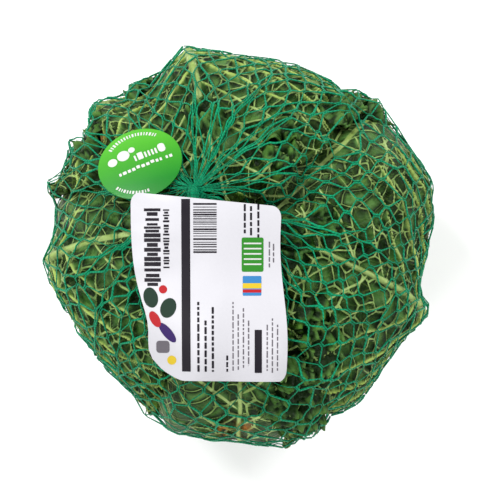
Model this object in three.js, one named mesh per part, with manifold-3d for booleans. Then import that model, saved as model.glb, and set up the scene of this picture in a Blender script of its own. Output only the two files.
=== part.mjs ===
import * as THREE from 'three';
import Module from 'manifold-3d';
import { mergeVertices } from 'three/addons/utils/BufferGeometryUtils.js';

// A savoy cabbage in a knitted net bag, in millimetres, standing on its cut stump with +Z up.
// The origin is the point of the floor under the middle of the bag, seen from above.

// Head: half sizes measured from its middle, and the power that rounds it between ball and box
const HEAD_MIDDLE = 72;
const HEAD_GIRTH = 87.5;
const HEAD_RISE = 75;
const HEAD_DROP = 64;
const HEAD_ROUNDNESS = 2.3;
// Where ribs and folds push the girth out: azimuth and spread in degrees, rise in millimetres
const SHOULDERS = [
  { azimuth: 105, rise: 6.5, spread: 9 },
  { azimuth: 137, rise: 5, spread: 12 },
  { azimuth: 185, rise: 2, spread: 10 },
  { azimuth: 280, rise: 7, spread: 26 },
  { azimuth: 341, rise: 3.5, spread: 8 },
  { azimuth: 18, rise: 6, spread: 9 },
  { azimuth: 42, rise: 4.5, spread: 12 },
];

// Stump: the cut stem under the head
const STUMP_RADIUS = 19;
const STUMP_FACE = 1.7;
const STUMP_TOP = 44;
const STUMP_SIDES = 24;

// Leaves, outermost first: the midrib's azimuth, the tip's angle up and over the head from below, the
// half width of the blade and the midrib's height at its foot
const LEAVES = [
  { azimuth: 105, tip: 166, halfWidth: 58, rib: 5, rows: 18, columns: 6 },
  { azimuth: 341, tip: 168, halfWidth: 56, rib: 5, rows: 18, columns: 6 },
  { azimuth: 185, tip: 170, halfWidth: 57, rib: 5, rows: 18, columns: 6 },
  { azimuth: 270, tip: 176, halfWidth: 56, rib: 4, rows: 18, columns: 6 },
  { azimuth: 45, tip: 180, halfWidth: 56, rib: 4, rows: 18, columns: 6 },
  { azimuth: 225, tip: 196, halfWidth: 52, rib: 2, rows: 12, columns: 5 },
  { azimuth: 140, tip: 196, halfWidth: 50, rib: 2, rows: 12, columns: 5 },
  { azimuth: 5, tip: 200, halfWidth: 50, rib: 2, rows: 12, columns: 5 },
];
const LEAF_PITCH = 4.5;
const BLADE = 1.4;
const LEAF_FOOT_GUESS = 19;
const LEAF_FOOT_TURN = 38;
const LEAF_FOOT_GAP = 0.5;
const LEAF_WIDEST = 86;
const LEAF_WIDEST_ROW = 0.38;
const LEAF_LAST = 76;
const LEAF_SLANT = 1.25;
const FOOT_ROWS = 0.12;
const COVER_NEAR = 9;
const COVER_FAR = 24;
// Relief of a blade: raised veins and sunk cells, the lift and waves of its margin, the midrib's width
const CELL_DEPTH = 0.9;
const VEIN_RISE = 1.1;
const MARGIN_LIFT = 2.2;
const MARGIN_SWAY = 2.2;
const MARGIN_WAVES = 9;
const MARGIN_START = 0.78;
const RIB_WIDE = 6.5;
const RIB_NARROW = 2.6;

// Heart: the inner head, with the curled edges of its own leaves on top
const HEART_ROWS = 22;
const HEART_COLUMNS = 30;
const HEART_GAP = 2.6;
const HEART_FRILLS = 7;
const HEART_FRILL = 1.6;

// Net: one knitted tube, gathered above and drawn up below, with knots where four strands meet
const GATHER = new THREE.Vector3(-19.2, 26.4, HEAD_MIDDLE + 74);
const NET_COLUMNS = 22;
const NET_REACH = 21;
const NET_STRAND = 1.2;
const NET_CLEAR = 0.6;
const NET_ABOVE_LEAVES = 1.9;
const NET_DROP = 79;
const NET_FOOT_ROUNDNESS = 1.8;
const NET_MOUTH = 5.8;
const NET_EASING_ROUNDS = 45;
const NET_SAMPLES = 7;
const KNOT = 0.85;
const ROSETTE_RADIUS = 10;
const ROSETTE_RIM = 3.8;
const ROSETTE_TAIL = 4;
const ROSETTE_TOP = 5.6;
const NECK_RISE = 9.2;
const NECK_RADIUS = 3;
const NECK_TIP = 3.8;
const NECK_LENGTH = 15;
const NECK_LEAN = new THREE.Vector3(0.12, -1, 0.1).normalize();

// Clip: the band that closes the gathered net
const CLIP_WALL = 1;
const CLIP_LENGTH = 4;
const CLIP_PLACE = 7.5;
const FIT_GAP = 0.3;

// Label: a sheet seen from above by its four corners, bowed by its edges' bulges
const LABEL_THICK = 0.6;
const LABEL_CORNERS = {
  topLeft: new THREE.Vector2(-50.5, 24.5),
  topRight: new THREE.Vector2(19.5, 17.5),
  lowRight: new THREE.Vector2(21.5, -63.8),
  lowLeft: new THREE.Vector2(-24, -63.4),
};
const LABEL_LEFT_BOW = -12.5;
const LABEL_ROWS = 10;
const LABEL_COLUMNS = 8;
const LABEL_CLEAR = 9.4;
const LABEL_LIFT = 11;
const LABEL_LIFT_END = -22;
const LABEL_WAVE = 1.2;

// Tag: a round card on the shoulder of the head
const TAG_PLACE = new THREE.Vector2(-47, 39);
const TAG_RADIUS = 20;
const TAG_THICK = 0.8;
const TAG_CLEAR = 7.6;

const HALF_TURN = 180;
const FULL_TURN = 360;
const middle = new THREE.Vector3(0, 0, HEAD_MIDDLE);
const { degToRad, radToDeg, clamp, lerp, smoothstep } = THREE.MathUtils;
const wasm = await Module();
wasm.setup();

// Closed bodies from points and triangles, and their joining

function geometryOf(points, triangles) {
  const geometry = new THREE.BufferGeometry();
  geometry.setAttribute('position', new THREE.Float32BufferAttribute(points.flatMap((p) => p.toArray()), 3));
  geometry.setIndex(triangles.flat());
  geometry.computeVertexNormals();
  return geometry;
}

function solidOf(geometry) {
  const bare = geometry.clone();
  bare.deleteAttribute('normal');
  bare.deleteAttribute('uv');
  const merged = mergeVertices(bare, 1e-4);
  const mesh = new wasm.Mesh({
    numProp: 3,
    vertProperties: new Float32Array(merged.attributes.position.array),
    triVerts: new Uint32Array(merged.index.array),
  });
  return new wasm.Manifold(mesh);
}

function geometryOfSolid(solid) {
  const mesh = solid.getMesh();
  const geometry = new THREE.BufferGeometry();
  geometry.setAttribute('position', new THREE.BufferAttribute(mesh.vertProperties, 3));
  geometry.setIndex(new THREE.BufferAttribute(mesh.triVerts, 1));
  geometry.computeVertexNormals();
  return geometry;
}

function named(name, geometry, color, roughness) {
  const mesh = new THREE.Mesh(geometry, new THREE.MeshStandardMaterial({ color, roughness, metalness: 0 }));
  mesh.name = name;
  return mesh;
}

// Two faces on the same grid, joined round their edge. Both are split into triangles alike.
function sheetGeometry(outer, inner) {
  const rows = outer.length;
  const columns = outer[0].length;
  const points = [...outer.flat(), ...inner.flat()];
  const under = rows * columns;
  const at = (row, column) => row * columns + column;
  const triangles = [];
  for (let row = 0; row < rows - 1; row += 1) {
    for (let column = 0; column < columns - 1; column += 1) {
      const [a, b] = [at(row, column), at(row, column + 1)];
      const [c, d] = [at(row + 1, column + 1), at(row + 1, column)];
      triangles.push([a, b, c], [a, c, d]);
      triangles.push([under + a, under + c, under + b], [under + a, under + d, under + c]);
    }
  }
  const rim = [];
  for (let column = 0; column < columns - 1; column += 1) rim.push(at(0, column));
  for (let row = 0; row < rows - 1; row += 1) rim.push(at(row, columns - 1));
  for (let column = columns - 1; column > 0; column -= 1) rim.push(at(rows - 1, column));
  for (let row = rows - 1; row > 0; row -= 1) rim.push(at(row, 0));
  rim.forEach((a, i) => {
    const b = rim[(i + 1) % rim.length];
    triangles.push([b, a, under + a], [b, under + a, under + b]);
  });
  return geometryOf(points, triangles);
}

// The outline of the whole head, as a distance from its middle in each direction

function shoulderRise(azimuth) {
  let rise = 0;
  for (const shoulder of SHOULDERS) {
    const turn = THREE.MathUtils.euclideanModulo(azimuth - shoulder.azimuth + HALF_TURN, FULL_TURN) - HALF_TURN;
    rise += shoulder.rise * Math.exp(-((turn / shoulder.spread) ** 2));
  }
  return rise;
}

function girthAt(x, y) {
  return HEAD_GIRTH + shoulderRise(radToDeg(Math.atan2(y, x)));
}

function rounded(direction, half, roundness) {
  const across = (Math.hypot(direction.x, direction.y) / girthAt(direction.x, direction.y)) ** roundness;
  const along = (Math.abs(direction.z) / half) ** roundness;
  return (across + along) ** (-1 / roundness);
}

function envelope(direction) {
  return rounded(direction, direction.z > 0 ? HEAD_RISE : HEAD_DROP, HEAD_ROUNDNESS);
}

function topHeight(x, y) {
  const share = Math.min(1, Math.hypot(x, y) / girthAt(x, y)) ** HEAD_ROUNDNESS;
  return HEAD_MIDDLE + HEAD_RISE * (1 - share) ** (1 / HEAD_ROUNDNESS);
}

// Places on a leaf: degrees along its midrib from straight below, and degrees to the side of it

function leafDirection(leaf, along, across) {
  const turn = degToRad(leaf.azimuth);
  const rise = degToRad(along);
  const side = degToRad(across);
  const onRib = new THREE.Vector3(Math.sin(rise) * Math.cos(turn), Math.sin(rise) * Math.sin(turn), -Math.cos(rise));
  const beside = new THREE.Vector3(-Math.sin(turn), Math.cos(turn), 0);
  return onRib.multiplyScalar(Math.cos(side)).addScaledVector(beside, Math.sin(side));
}

function leafPlace(leaf, direction) {
  const turn = degToRad(leaf.azimuth);
  const forward = direction.x * Math.cos(turn) + direction.y * Math.sin(turn);
  const side = direction.y * Math.cos(turn) - direction.x * Math.sin(turn);
  const along = radToDeg(Math.atan2(forward, -direction.z));
  return {
    along: along < -HALF_TURN / 2 ? along + FULL_TURN : along,
    across: radToDeg(Math.asin(clamp(side, -1, 1))),
  };
}

function footPlace(leaf, turn) {
  const foot = degToRad(leaf.foot);
  return {
    along: radToDeg(Math.atan(Math.tan(foot) * Math.cos(turn))),
    across: radToDeg(Math.asin(Math.sin(foot) * Math.sin(turn))),
  };
}

function lowerHalfWidth(leaf, along) {
  const grown = Math.sin((Math.PI / 2) * clamp((along - leaf.foot) / (LEAF_WIDEST - leaf.foot), 0, 1));
  return lerp(footPlace(leaf, degToRad(LEAF_FOOT_TURN)).across, leaf.halfWidth, grown);
}

// How near a place is to the margin, 1 on it, and how many degrees it lies beyond the margin

function nearMargin(leaf, { along, across }) {
  if (along < LEAF_WIDEST) return Math.abs(across) / lowerHalfWidth(leaf, along);
  return Math.hypot((along - LEAF_WIDEST) / (leaf.tip - LEAF_WIDEST), across / leaf.halfWidth);
}

function beyondMargin(leaf, place) {
  const beside = (nearMargin(leaf, place) - 1) * lowerHalfWidth(leaf, place.along);
  return Math.max(beside, leaf.foot - place.along);
}

function cover(leaf, direction) {
  return 1 - smoothstep(beyondMargin(leaf, leafPlace(leaf, direction)), COVER_NEAR, COVER_FAR);
}

// A leaf lies one pitch deeper under each leaf outside it, and its foot meets the side of the stump

function coversOver(count, direction) {
  let sum = 0;
  for (let i = 0; i < count; i += 1) sum += cover(LEAVES[i], direction);
  return sum;
}

LEAVES.forEach((leaf, index) => {
  const direction = leafDirection(leaf, LEAF_FOOT_GUESS, 0);
  const inside = envelope(direction) - LEAF_PITCH * coversOver(index, direction) - BLADE - CELL_DEPTH;
  leaf.foot = radToDeg(Math.asin((STUMP_RADIUS + LEAF_FOOT_GAP) / inside));
});

function leafRelief(leaf, place, bare) {
  const grown = clamp((place.along - leaf.foot) / (leaf.tip - leaf.foot), 0, 1);
  const width = lerp(RIB_WIDE, RIB_NARROW, grown);
  const rib = leaf.rib * (1 - grown) ** 1.2 * Math.exp(-((place.across / width) ** 2));
  const turn = Math.atan2(place.across, place.along - LEAF_WIDEST);
  const wave = 0.5 + 0.5 * Math.sin(MARGIN_WAVES * turn + leaf.azimuth);
  const margin = MARGIN_LIFT * smoothstep(nearMargin(leaf, place), MARGIN_START, 1) * wave;
  return { rib: rib * bare, margin: margin * bare };
}

function leafTop(index, direction) {
  const leaf = LEAVES[index];
  const place = leafPlace(leaf, direction);
  if (beyondMargin(leaf, place) > COVER_NEAR / 2) return 0;
  const covers = coversOver(index, direction);
  const relief = leafRelief(leaf, place, Math.max(0, 1 - covers));
  const vein = VEIN_RISE * Math.max(0, 1 - covers);
  return envelope(direction) - LEAF_PITCH * covers + relief.rib + relief.margin + CELL_DEPTH + vein;
}

// The margin from the foot's corner to beside the tip, and the ends of each slanted row of the grid

function marginPlace(leaf, share) {
  if (share < LEAF_WIDEST_ROW) {
    const along = lerp(leaf.foot, LEAF_WIDEST, share / LEAF_WIDEST_ROW);
    return { along, across: lowerHalfWidth(leaf, along) };
  }
  const turn = degToRad((LEAF_LAST * (share - LEAF_WIDEST_ROW)) / (1 - LEAF_WIDEST_ROW));
  return {
    along: LEAF_WIDEST + (leaf.tip - LEAF_WIDEST) * Math.sin(turn),
    across: leaf.halfWidth * Math.cos(turn),
  };
}

function leafGrid(index) {
  const leaf = LEAVES[index];
  const outer = [];
  const inner = [];
  for (let row = 0; row <= leaf.rows; row += 1) {
    const share = row / leaf.rows;
    const start = lerp(leaf.foot, leaf.tip, share ** LEAF_SLANT);
    const end = marginPlace(leaf, share);
    end.across += MARGIN_SWAY * Math.sin(2 * Math.PI * MARGIN_WAVES * share * (1 - share));
    const footTie = Math.max(0, 1 - share / FOOT_ROWS);
    outer.push([]);
    inner.push([]);
    for (let column = -leaf.columns; column <= leaf.columns; column += 1) {
      const step = Math.abs(column) / leaf.columns;
      const out = Math.sign(column) * step ** 1.15;
      const turn = degToRad(LEAF_FOOT_TURN * out);
      const foot = footPlace(leaf, turn);
      const place = {
        along: lerp(lerp(start, end.along, Math.abs(out)), foot.along, footTie),
        across: lerp(end.across * out, foot.across, footTie),
      };
      const direction = leafDirection(leaf, place.along, place.across);
      const covers = coversOver(index, direction);
      const relief = leafRelief(leaf, place, Math.max(0, 1 - covers));
      const sunk = (row % 2 === 0) && column !== 0;
      const crossVein = column % 2 === 0 ? 0.2 : -1;
      const cell = CELL_DEPTH * (sunk ? crossVein : 1);
      const vein = sunk ? 0 : VEIN_RISE * Math.max(0, 1 - covers);
      const level = envelope(direction) - LEAF_PITCH * covers + relief.margin + cell;
      for (const [face, radius] of [[outer, level + relief.rib + vein], [inner, level - BLADE]]) {
        if (row === 0) {
          const dip = Math.asin((STUMP_RADIUS + LEAF_FOOT_GAP) / radius);
          const heading = degToRad(leaf.azimuth) + turn;
          direction.set(Math.sin(dip) * Math.cos(heading), Math.sin(dip) * Math.sin(heading), -Math.cos(dip));
        }
        face[row].push(direction.clone().multiplyScalar(radius).add(middle));
      }
    }
  }
  return { outer, inner };
}

function leafMesh(index) {
  const { outer, inner } = leafGrid(index);
  return named(`leaf_${index + 1}`, sheetGeometry(outer, inner), 0x557a3c, 0.6);
}

// The heart fills the head inside the leaves and grows from the stump

function heartTop(direction) {
  const covers = coversOver(LEAVES.length, direction);
  const turn = Math.atan2(direction.y, direction.x);
  const polar = Math.acos(clamp(direction.z, -1, 1));
  const frill = Math.abs(Math.sin((HEART_FRILLS * (turn + 2 * polar)) / 2));
  const sunk = LEAF_PITCH * covers + HEART_GAP * Math.min(1, covers);
  return envelope(direction) - sunk - HEART_FRILL * frill * Math.max(0, 1 - covers);
}

function heartMesh() {
  const points = [];
  const triangles = [];
  for (let row = 1; row < HEART_ROWS; row += 1) {
    const polar = (Math.PI * row) / HEART_ROWS;
    for (let column = 0; column < HEART_COLUMNS; column += 1) {
      const turn = (2 * Math.PI * column) / HEART_COLUMNS;
      const direction = new THREE.Vector3().setFromSphericalCoords(1, polar, 0);
      direction.set(direction.z * Math.cos(turn), direction.z * Math.sin(turn), direction.y);
      points.push(direction.clone().multiplyScalar(heartTop(direction)).add(middle));
    }
  }
  const north = points.push(new THREE.Vector3(0, 0, HEAD_MIDDLE + heartTop(new THREE.Vector3(0, 0, 1)))) - 1;
  const south = points.push(new THREE.Vector3(0, 0, HEAD_MIDDLE - heartTop(new THREE.Vector3(0, 0, -1)))) - 1;
  const at = (row, column) => (row - 1) * HEART_COLUMNS + (column % HEART_COLUMNS);
  for (let column = 0; column < HEART_COLUMNS; column += 1) {
    triangles.push([north, at(1, column), at(1, column + 1)]);
    triangles.push([south, at(HEART_ROWS - 1, column + 1), at(HEART_ROWS - 1, column)]);
    for (let row = 1; row < HEART_ROWS - 1; row += 1) {
      const [a, b] = [at(row, column), at(row + 1, column)];
      const [c, d] = [at(row + 1, column + 1), at(row, column + 1)];
      triangles.push([a, b, c], [a, c, d]);
    }
  }
  const height = STUMP_TOP - STUMP_FACE;
  const stump = new THREE.CylinderGeometry(STUMP_RADIUS, STUMP_RADIUS, height, STUMP_SIDES);
  stump.rotateX(Math.PI / 2);
  stump.translate(0, 0, STUMP_FACE + height / 2);
  const heart = solidOf(geometryOf(points, triangles)).add(solidOf(stump));
  return named('heart', geometryOfSolid(heart), 0x6d9a3e, 0.6);
}

// The net is worked out knot by knot: rings round the line from the gather to the drawn up end

const netAxis = GATHER.clone().sub(middle).normalize();
const netEast = new THREE.Vector3(1, 0, 0).addScaledVector(netAxis, -netAxis.x).normalize();
const netNorth = netAxis.clone().cross(netEast);

function netDirection(polar, turn) {
  const out = netEast.clone().multiplyScalar(Math.cos(turn)).addScaledVector(netNorth, Math.sin(turn));
  return netAxis.clone().multiplyScalar(Math.cos(polar)).addScaledVector(out, Math.sin(polar));
}

// Strands keep their length, so rings lie far apart where the tube is narrow and close where it is wide

function netRings() {
  const girth = HEAD_GIRTH + NET_ABOVE_LEAVES;
  const rings = [degToRad(NET_MOUTH)];
  while (rings.at(-1) < Math.PI - degToRad(NET_MOUTH)) {
    const aside = (Math.PI * girth * Math.sin(rings.at(-1))) / NET_COLUMNS;
    rings.push(rings.at(-1) + Math.sqrt(NET_REACH ** 2 - aside ** 2) / girth);
  }
  const first = rings[0];
  const fit = (Math.PI - 2 * first) / (rings.at(-1) - first);
  return rings.map((polar) => first + (polar - first) * fit);
}

// The least distance from the middle at which a strand passes over what lies below it

function clearDistance(direction) {
  let top = heartTop(direction);
  for (let i = 0; i < LEAVES.length; i += 1) top = Math.max(top, leafTop(i, direction));
  return top + NET_CLEAR + NET_STRAND / 2;
}

function floorDistance(direction) {
  return direction.z < 0 ? (HEAD_MIDDLE - NET_STRAND / 2) / -direction.z : Infinity;
}

// Below, the net hangs off the stump's edge and lies on the floor round it

function looseDistance(direction) {
  const taut = envelope(direction) + NET_ABOVE_LEAVES;
  return direction.z < 0 ? Math.max(taut, rounded(direction, NET_DROP, NET_FOOT_ROUNDNESS)) : taut;
}

function netKnots() {
  const knots = netRings().map((polar, ring) => Array.from({ length: NET_COLUMNS }, (_, column) => {
    const turn = (2 * Math.PI * (column + (ring % 2) / 2)) / NET_COLUMNS;
    const direction = netDirection(polar, turn);
    return { direction, distance: looseDistance(direction) };
  }));
  const place = (knot) => knot.direction.clone().multiplyScalar(Math.min(knot.distance, floorDistance(knot.direction)));
  for (let round = 0; round < NET_EASING_ROUNDS; round += 1) {
    for (let ring = 0; ring < knots.length - 1; ring += 1) {
      for (let column = 0; column < NET_COLUMNS; column += 1) {
        const from = knots[ring][column];
        for (const to of [knots[ring + 1][rightBelow(ring, column)], knots[ring + 1][leftBelow(ring, column)]]) {
          for (let i = 1; i < NET_SAMPLES; i += 1) {
            const share = i / NET_SAMPLES;
            const point = place(from).lerp(place(to), share);
            const distance = point.length();
            const short = clearDistance(point.divideScalar(distance)) - distance;
            if (short > 0) {
              from.distance += short * (1 - share);
              to.distance += short * share;
            }
          }
        }
      }
    }
  }
  return knots.map((ring) => ring.map(place));
}

function rightBelow(ring, column) {
  return (column + (ring % 2)) % NET_COLUMNS;
}

function leftBelow(ring, column) {
  return (column + (ring % 2) + NET_COLUMNS - 1) % NET_COLUMNS;
}

function latticeGeometry(knots) {
  const points = [];
  const triangles = [];
  const quad = (a, b, c, d) => triangles.push([a, b, c], [a, c, d]);
  const corner = { right: 0, up: 1, left: 2, down: 3 };
  const at = (ring, column, name, face) => ((ring * NET_COLUMNS + column) * 4 + corner[name]) * 2 + face;
  const last = knots.length - 1;
  knots.forEach((row, ring) => row.forEach((knot, column) => {
    const beside = (step) => row[(column + step + NET_COLUMNS) % NET_COLUMNS];
    const above = knots[Math.max(ring - 2, ring % 2)][column];
    const below = knots[Math.min(ring + 2, last - ((last - ring) % 2))][column];
    const right = beside(1).clone().sub(beside(-1)).normalize();
    const outward = right.clone().cross(above.clone().sub(below)).normalize();
    const up = outward.clone().cross(right);
    for (const way of [right, up, right.clone().negate(), up.clone().negate()]) {
      for (const face of [1, -1]) {
        const point = knot.clone().addScaledVector(way, KNOT).addScaledVector(outward, (face * NET_STRAND) / 2);
        point.add(middle);
        point.z = Math.max(0, point.z);
        points.push(point);
      }
    }
  }));
  for (let ring = 0; ring <= last; ring += 1) {
    for (let column = 0; column < NET_COLUMNS; column += 1) {
      const knot = (name, face) => at(ring, column, name, face);
      quad(knot('right', 0), knot('up', 0), knot('left', 0), knot('down', 0));
      quad(knot('down', 1), knot('left', 1), knot('up', 1), knot('right', 1));
      const close = (a, b) => quad(knot(b, 0), knot(a, 0), knot(a, 1), knot(b, 1));
      if (ring === 0) {
        close('right', 'up');
        close('up', 'left');
      }
      if (ring === last) {
        close('left', 'down');
        close('down', 'right');
        continue;
      }
      const rightKnot = (name, face) => at(ring + 1, rightBelow(ring, column), name, face);
      quad(knot('down', 0), rightKnot('left', 0), rightKnot('up', 0), knot('right', 0));
      quad(knot('right', 1), rightKnot('up', 1), rightKnot('left', 1), knot('down', 1));
      quad(rightKnot('left', 0), knot('down', 0), knot('down', 1), rightKnot('left', 1));
      quad(knot('right', 0), rightKnot('up', 0), rightKnot('up', 1), knot('right', 1));
      const leftKnot = (name, face) => at(ring + 1, leftBelow(ring, column), name, face);
      quad(knot('left', 0), leftKnot('up', 0), leftKnot('right', 0), knot('down', 0));
      quad(knot('down', 1), leftKnot('right', 1), leftKnot('up', 1), knot('left', 1));
      quad(leftKnot('up', 0), knot('left', 0), knot('left', 1), leftKnot('up', 1));
      quad(knot('down', 0), leftKnot('right', 0), leftKnot('right', 1), knot('down', 1));
    }
  }
  return geometryOf(points, triangles);
}

// The gathered neck stands on the first ring, then leans over towards the label

function turned(profile, sides) {
  return new THREE.LatheGeometry(profile.map(([x, y]) => new THREE.Vector2(x, y)), sides);
}

function alongAxis(geometry, way, place) {
  const turn = new THREE.Quaternion().setFromUnitVectors(new THREE.Vector3(0, 1, 0), way);
  geometry.applyQuaternion(turn);
  geometry.translate(place.x, place.y, place.z);
  return geometry;
}

function mouthMiddle(ring) {
  const sum = new THREE.Vector3();
  ring.forEach((knot) => sum.add(knot));
  return sum.divideScalar(ring.length);
}

function neckFoot(ring) {
  return mouthMiddle(ring).add(middle);
}

function neckBend(ring) {
  return neckFoot(ring).addScaledVector(netAxis, NECK_RISE);
}

function netMesh(knots) {
  const half = NET_STRAND / 2;
  const ringRadius = knots[0][0].distanceTo(mouthMiddle(knots[0])) + half;
  const cone = turned([
    [0, -half],
    [ringRadius, -half],
    [ringRadius, half],
    [2 * NECK_RADIUS, NECK_RISE / 3],
    [NECK_RADIUS + 1, NECK_RISE],
    [0, NECK_RISE + NECK_RADIUS],
  ], NET_COLUMNS);
  const neck = turned([
    [0, -NECK_RADIUS / 2],
    [NECK_RADIUS, -NECK_RADIUS / 2],
    [NECK_RADIUS, CLIP_PLACE + CLIP_LENGTH],
    [NECK_TIP, NECK_LENGTH],
    [0, NECK_LENGTH],
  ], NET_COLUMNS / 2);
  const rosette = turned([
    [0, 0],
    [ROSETTE_RADIUS, 0],
    [ROSETTE_RADIUS, ROSETTE_RIM],
    [ROSETTE_TAIL, ROSETTE_TOP],
    [0, ROSETTE_TOP],
  ], NET_COLUMNS);
  const foot = neckFoot(knots.at(-1)).setZ(0);
  const net = solidOf(latticeGeometry(knots))
    .add(solidOf(alongAxis(cone, netAxis, neckFoot(knots[0]))))
    .add(solidOf(alongAxis(neck, NECK_LEAN, neckBend(knots[0]))))
    .add(solidOf(alongAxis(rosette, new THREE.Vector3(0, 0, 1), foot)));
  return named('net', geometryOfSolid(net), 0x0f9b74, 0.45);
}

function clipMesh(knots) {
  const inside = NECK_RADIUS + FIT_GAP;
  const ring = turned([
    [inside, 0],
    [inside + CLIP_WALL, 0],
    [inside + CLIP_WALL, CLIP_LENGTH],
    [inside, CLIP_LENGTH],
    [inside, 0],
  ], NET_COLUMNS / 2);
  const place = neckBend(knots[0]).addScaledVector(NECK_LEAN, CLIP_PLACE);
  return named('net_clip', alongAxis(ring, NECK_LEAN, place), 0xb9bcbf, 0.35);
}

// The label follows the top of the head, lifted near the clip that holds it

function labelPoint(down, across) {
  const { topLeft, topRight, lowRight, lowLeft } = LABEL_CORNERS;
  const left = topLeft.clone().lerp(lowLeft, down);
  left.x += LABEL_LEFT_BOW * Math.sin(Math.PI * down) * (0.6 + 0.4 * down);
  const right = topRight.clone().lerp(lowRight, down);
  right.x -= LABEL_WAVE * Math.sin(2 * Math.PI * down);
  const point = left.lerp(right, across);
  const lift = LABEL_LIFT * smoothstep(point.y, LABEL_LIFT_END, topLeft.y);
  const wave = LABEL_WAVE * Math.sin(2 * Math.PI * down + Math.PI) * across;
  return new THREE.Vector3(point.x, point.y, topHeight(point.x, point.y) + LABEL_CLEAR + lift + wave);
}

function labelMesh() {
  const faces = [0, 1].map((face) => Array.from({ length: LABEL_ROWS + 1 }, (_, row) => (
    Array.from({ length: LABEL_COLUMNS + 1 }, (_unused, column) => {
      const point = labelPoint(1 - row / LABEL_ROWS, column / LABEL_COLUMNS);
      point.z -= face * LABEL_THICK;
      return point;
    })
  )));
  return named('label', sheetGeometry(faces[0], faces[1]), 0xf2f2f4, 0.4);
}

function tagMesh() {
  const height = topHeight(TAG_PLACE.x, TAG_PLACE.y);
  const reach = 1;
  const slopeX = topHeight(TAG_PLACE.x + reach, TAG_PLACE.y) - topHeight(TAG_PLACE.x - reach, TAG_PLACE.y);
  const slopeY = topHeight(TAG_PLACE.x, TAG_PLACE.y + reach) - topHeight(TAG_PLACE.x, TAG_PLACE.y - reach);
  const normal = new THREE.Vector3(-slopeX / (2 * reach), -slopeY / (2 * reach), 1).normalize();
  const place = new THREE.Vector3(TAG_PLACE.x, TAG_PLACE.y, height).addScaledVector(normal, TAG_CLEAR);
  const disc = new THREE.CylinderGeometry(TAG_RADIUS, TAG_RADIUS, TAG_THICK, 32);
  return named('tag', alongAxis(disc, normal, place), 0x3fae2a, 0.25);
}

const cabbage = new THREE.Group();
cabbage.add(heartMesh());
LEAVES.forEach((_, index) => cabbage.add(leafMesh(index)));
const knots = netKnots();
cabbage.add(netMesh(knots), clipMesh(knots), labelMesh(), tagMesh());
const extent = new THREE.Box3().setFromObject(cabbage).getCenter(new THREE.Vector3());
cabbage.position.set(-extent.x, -extent.y, 0);

export default cabbage;
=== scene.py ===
import bpy
import math
from collections import namedtuple
import numpy as np
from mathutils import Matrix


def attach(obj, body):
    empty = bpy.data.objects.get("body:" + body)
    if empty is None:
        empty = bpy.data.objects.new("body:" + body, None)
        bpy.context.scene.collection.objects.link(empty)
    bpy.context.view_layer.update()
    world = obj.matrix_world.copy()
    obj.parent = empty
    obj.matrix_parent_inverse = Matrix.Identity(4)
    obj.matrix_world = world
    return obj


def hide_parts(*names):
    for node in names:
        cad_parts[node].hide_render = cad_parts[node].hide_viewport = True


# A savoy cabbage in a knitted net bag, with its label, round tag and clip, seen from straight above.
# Shapes are worked out in millimetres and laid down in metres, in the frame of the solids.

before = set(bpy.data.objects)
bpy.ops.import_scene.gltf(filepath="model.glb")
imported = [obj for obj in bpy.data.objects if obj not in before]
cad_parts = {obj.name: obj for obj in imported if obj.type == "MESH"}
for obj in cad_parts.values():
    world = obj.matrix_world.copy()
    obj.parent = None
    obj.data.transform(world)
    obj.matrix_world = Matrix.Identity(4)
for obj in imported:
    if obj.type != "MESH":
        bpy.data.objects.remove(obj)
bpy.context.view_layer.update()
MM = 0.001
FAR_OFF = 1e9

# The middle of the cut stump, which all distances on the plan are measured from
stump_points = np.array([v.co[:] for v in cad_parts["heart"].data.vertices]) / MM
STUMP_FACE = 1.7
SHIFT = np.append(stump_points[stump_points[:, 2] < STUMP_FACE + 0.1][:, :2].mean(axis=0), 0.0)

# Head: half sizes from its middle, the power that rounds it, and what pushes its girth out
HEAD_MIDDLE = 72.0
HEAD_GIRTH = 87.5
HEAD_RISE = 75.0
HEAD_DROP = 64.0
HEAD_ROUNDNESS = 2.3
SHOULDERS = [(105, 6.5, 9), (137, 5, 12), (185, 2, 10), (280, 7, 26), (341, 3.5, 8), (18, 6, 9), (42, 4.5, 12)]
# Smaller swellings and hollows of its girth: azimuth, height, and spread in degrees
SWELLINGS = [(32, 3, 6), (40, 3, 5), (50, -6.5, 7), (136, 3, 4), (121, -4, 8), (144, -4.5, 4), (152, 2, 6),
             (169, 5.5, 8), (240, -1.6, 8), (192, 2, 5), (222, -2.5, 20), (251, 4, 7), (265, -4, 6),
             (279, 4.2, 6), (292, -5.0, 7), (308, 2.0, 8), (336, 2, 5), (346, -3, 6), (8, 1.5, 5)]
STUMP_RADIUS = 19.0
MIDDLE = np.array([0.0, 0.0, HEAD_MIDDLE])

# Leaves, outermost first: azimuth, tip and half width in degrees, midrib height, rows, columns each side, and
# how far the midrib leans aside above the elbow, in mm a degree
Leaf = namedtuple("Leaf", "azimuth tip half_width rib_height rows columns lean")
LEAVES = [
    Leaf(105, 166, 58, 5.0, 261, 94, 0.0),
    Leaf(341, 168, 56, 5.0, 261, 94, -0.17),
    Leaf(185, 170, 57, 5.0, 261, 94, 0.21),
    Leaf(270, 176, 56, 0.9, 261, 94, 0.0),
    Leaf(45, 180, 56, 1.4, 261, 94, 0.0),
    Leaf(225, 196, 52, 2.0, 150, 50, 0.0),
    Leaf(140, 196, 50, 2.0, 150, 50, 0.0),
    Leaf(5, 200, 50, 2.0, 150, 50, 0.0),
]
LEAF_PITCH = 4.5
BLADE = 1.0
THICK_RIB = 5.0
LEAF_FOOT_GUESS = 19.0
LEAF_FOOT_TURN = 38.0
LEAF_FOOT_GAP = 0.5
LEAF_FOOT_DEPTH = 2.3
LEAF_WIDEST = 86.0
LEAF_WIDEST_ROW = 0.38
LEAF_LAST = 76.0
ROW_CROWDING = 1.12
COLUMN_CROWDING = 1.15
FOOT_ROWS = 0.12
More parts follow.
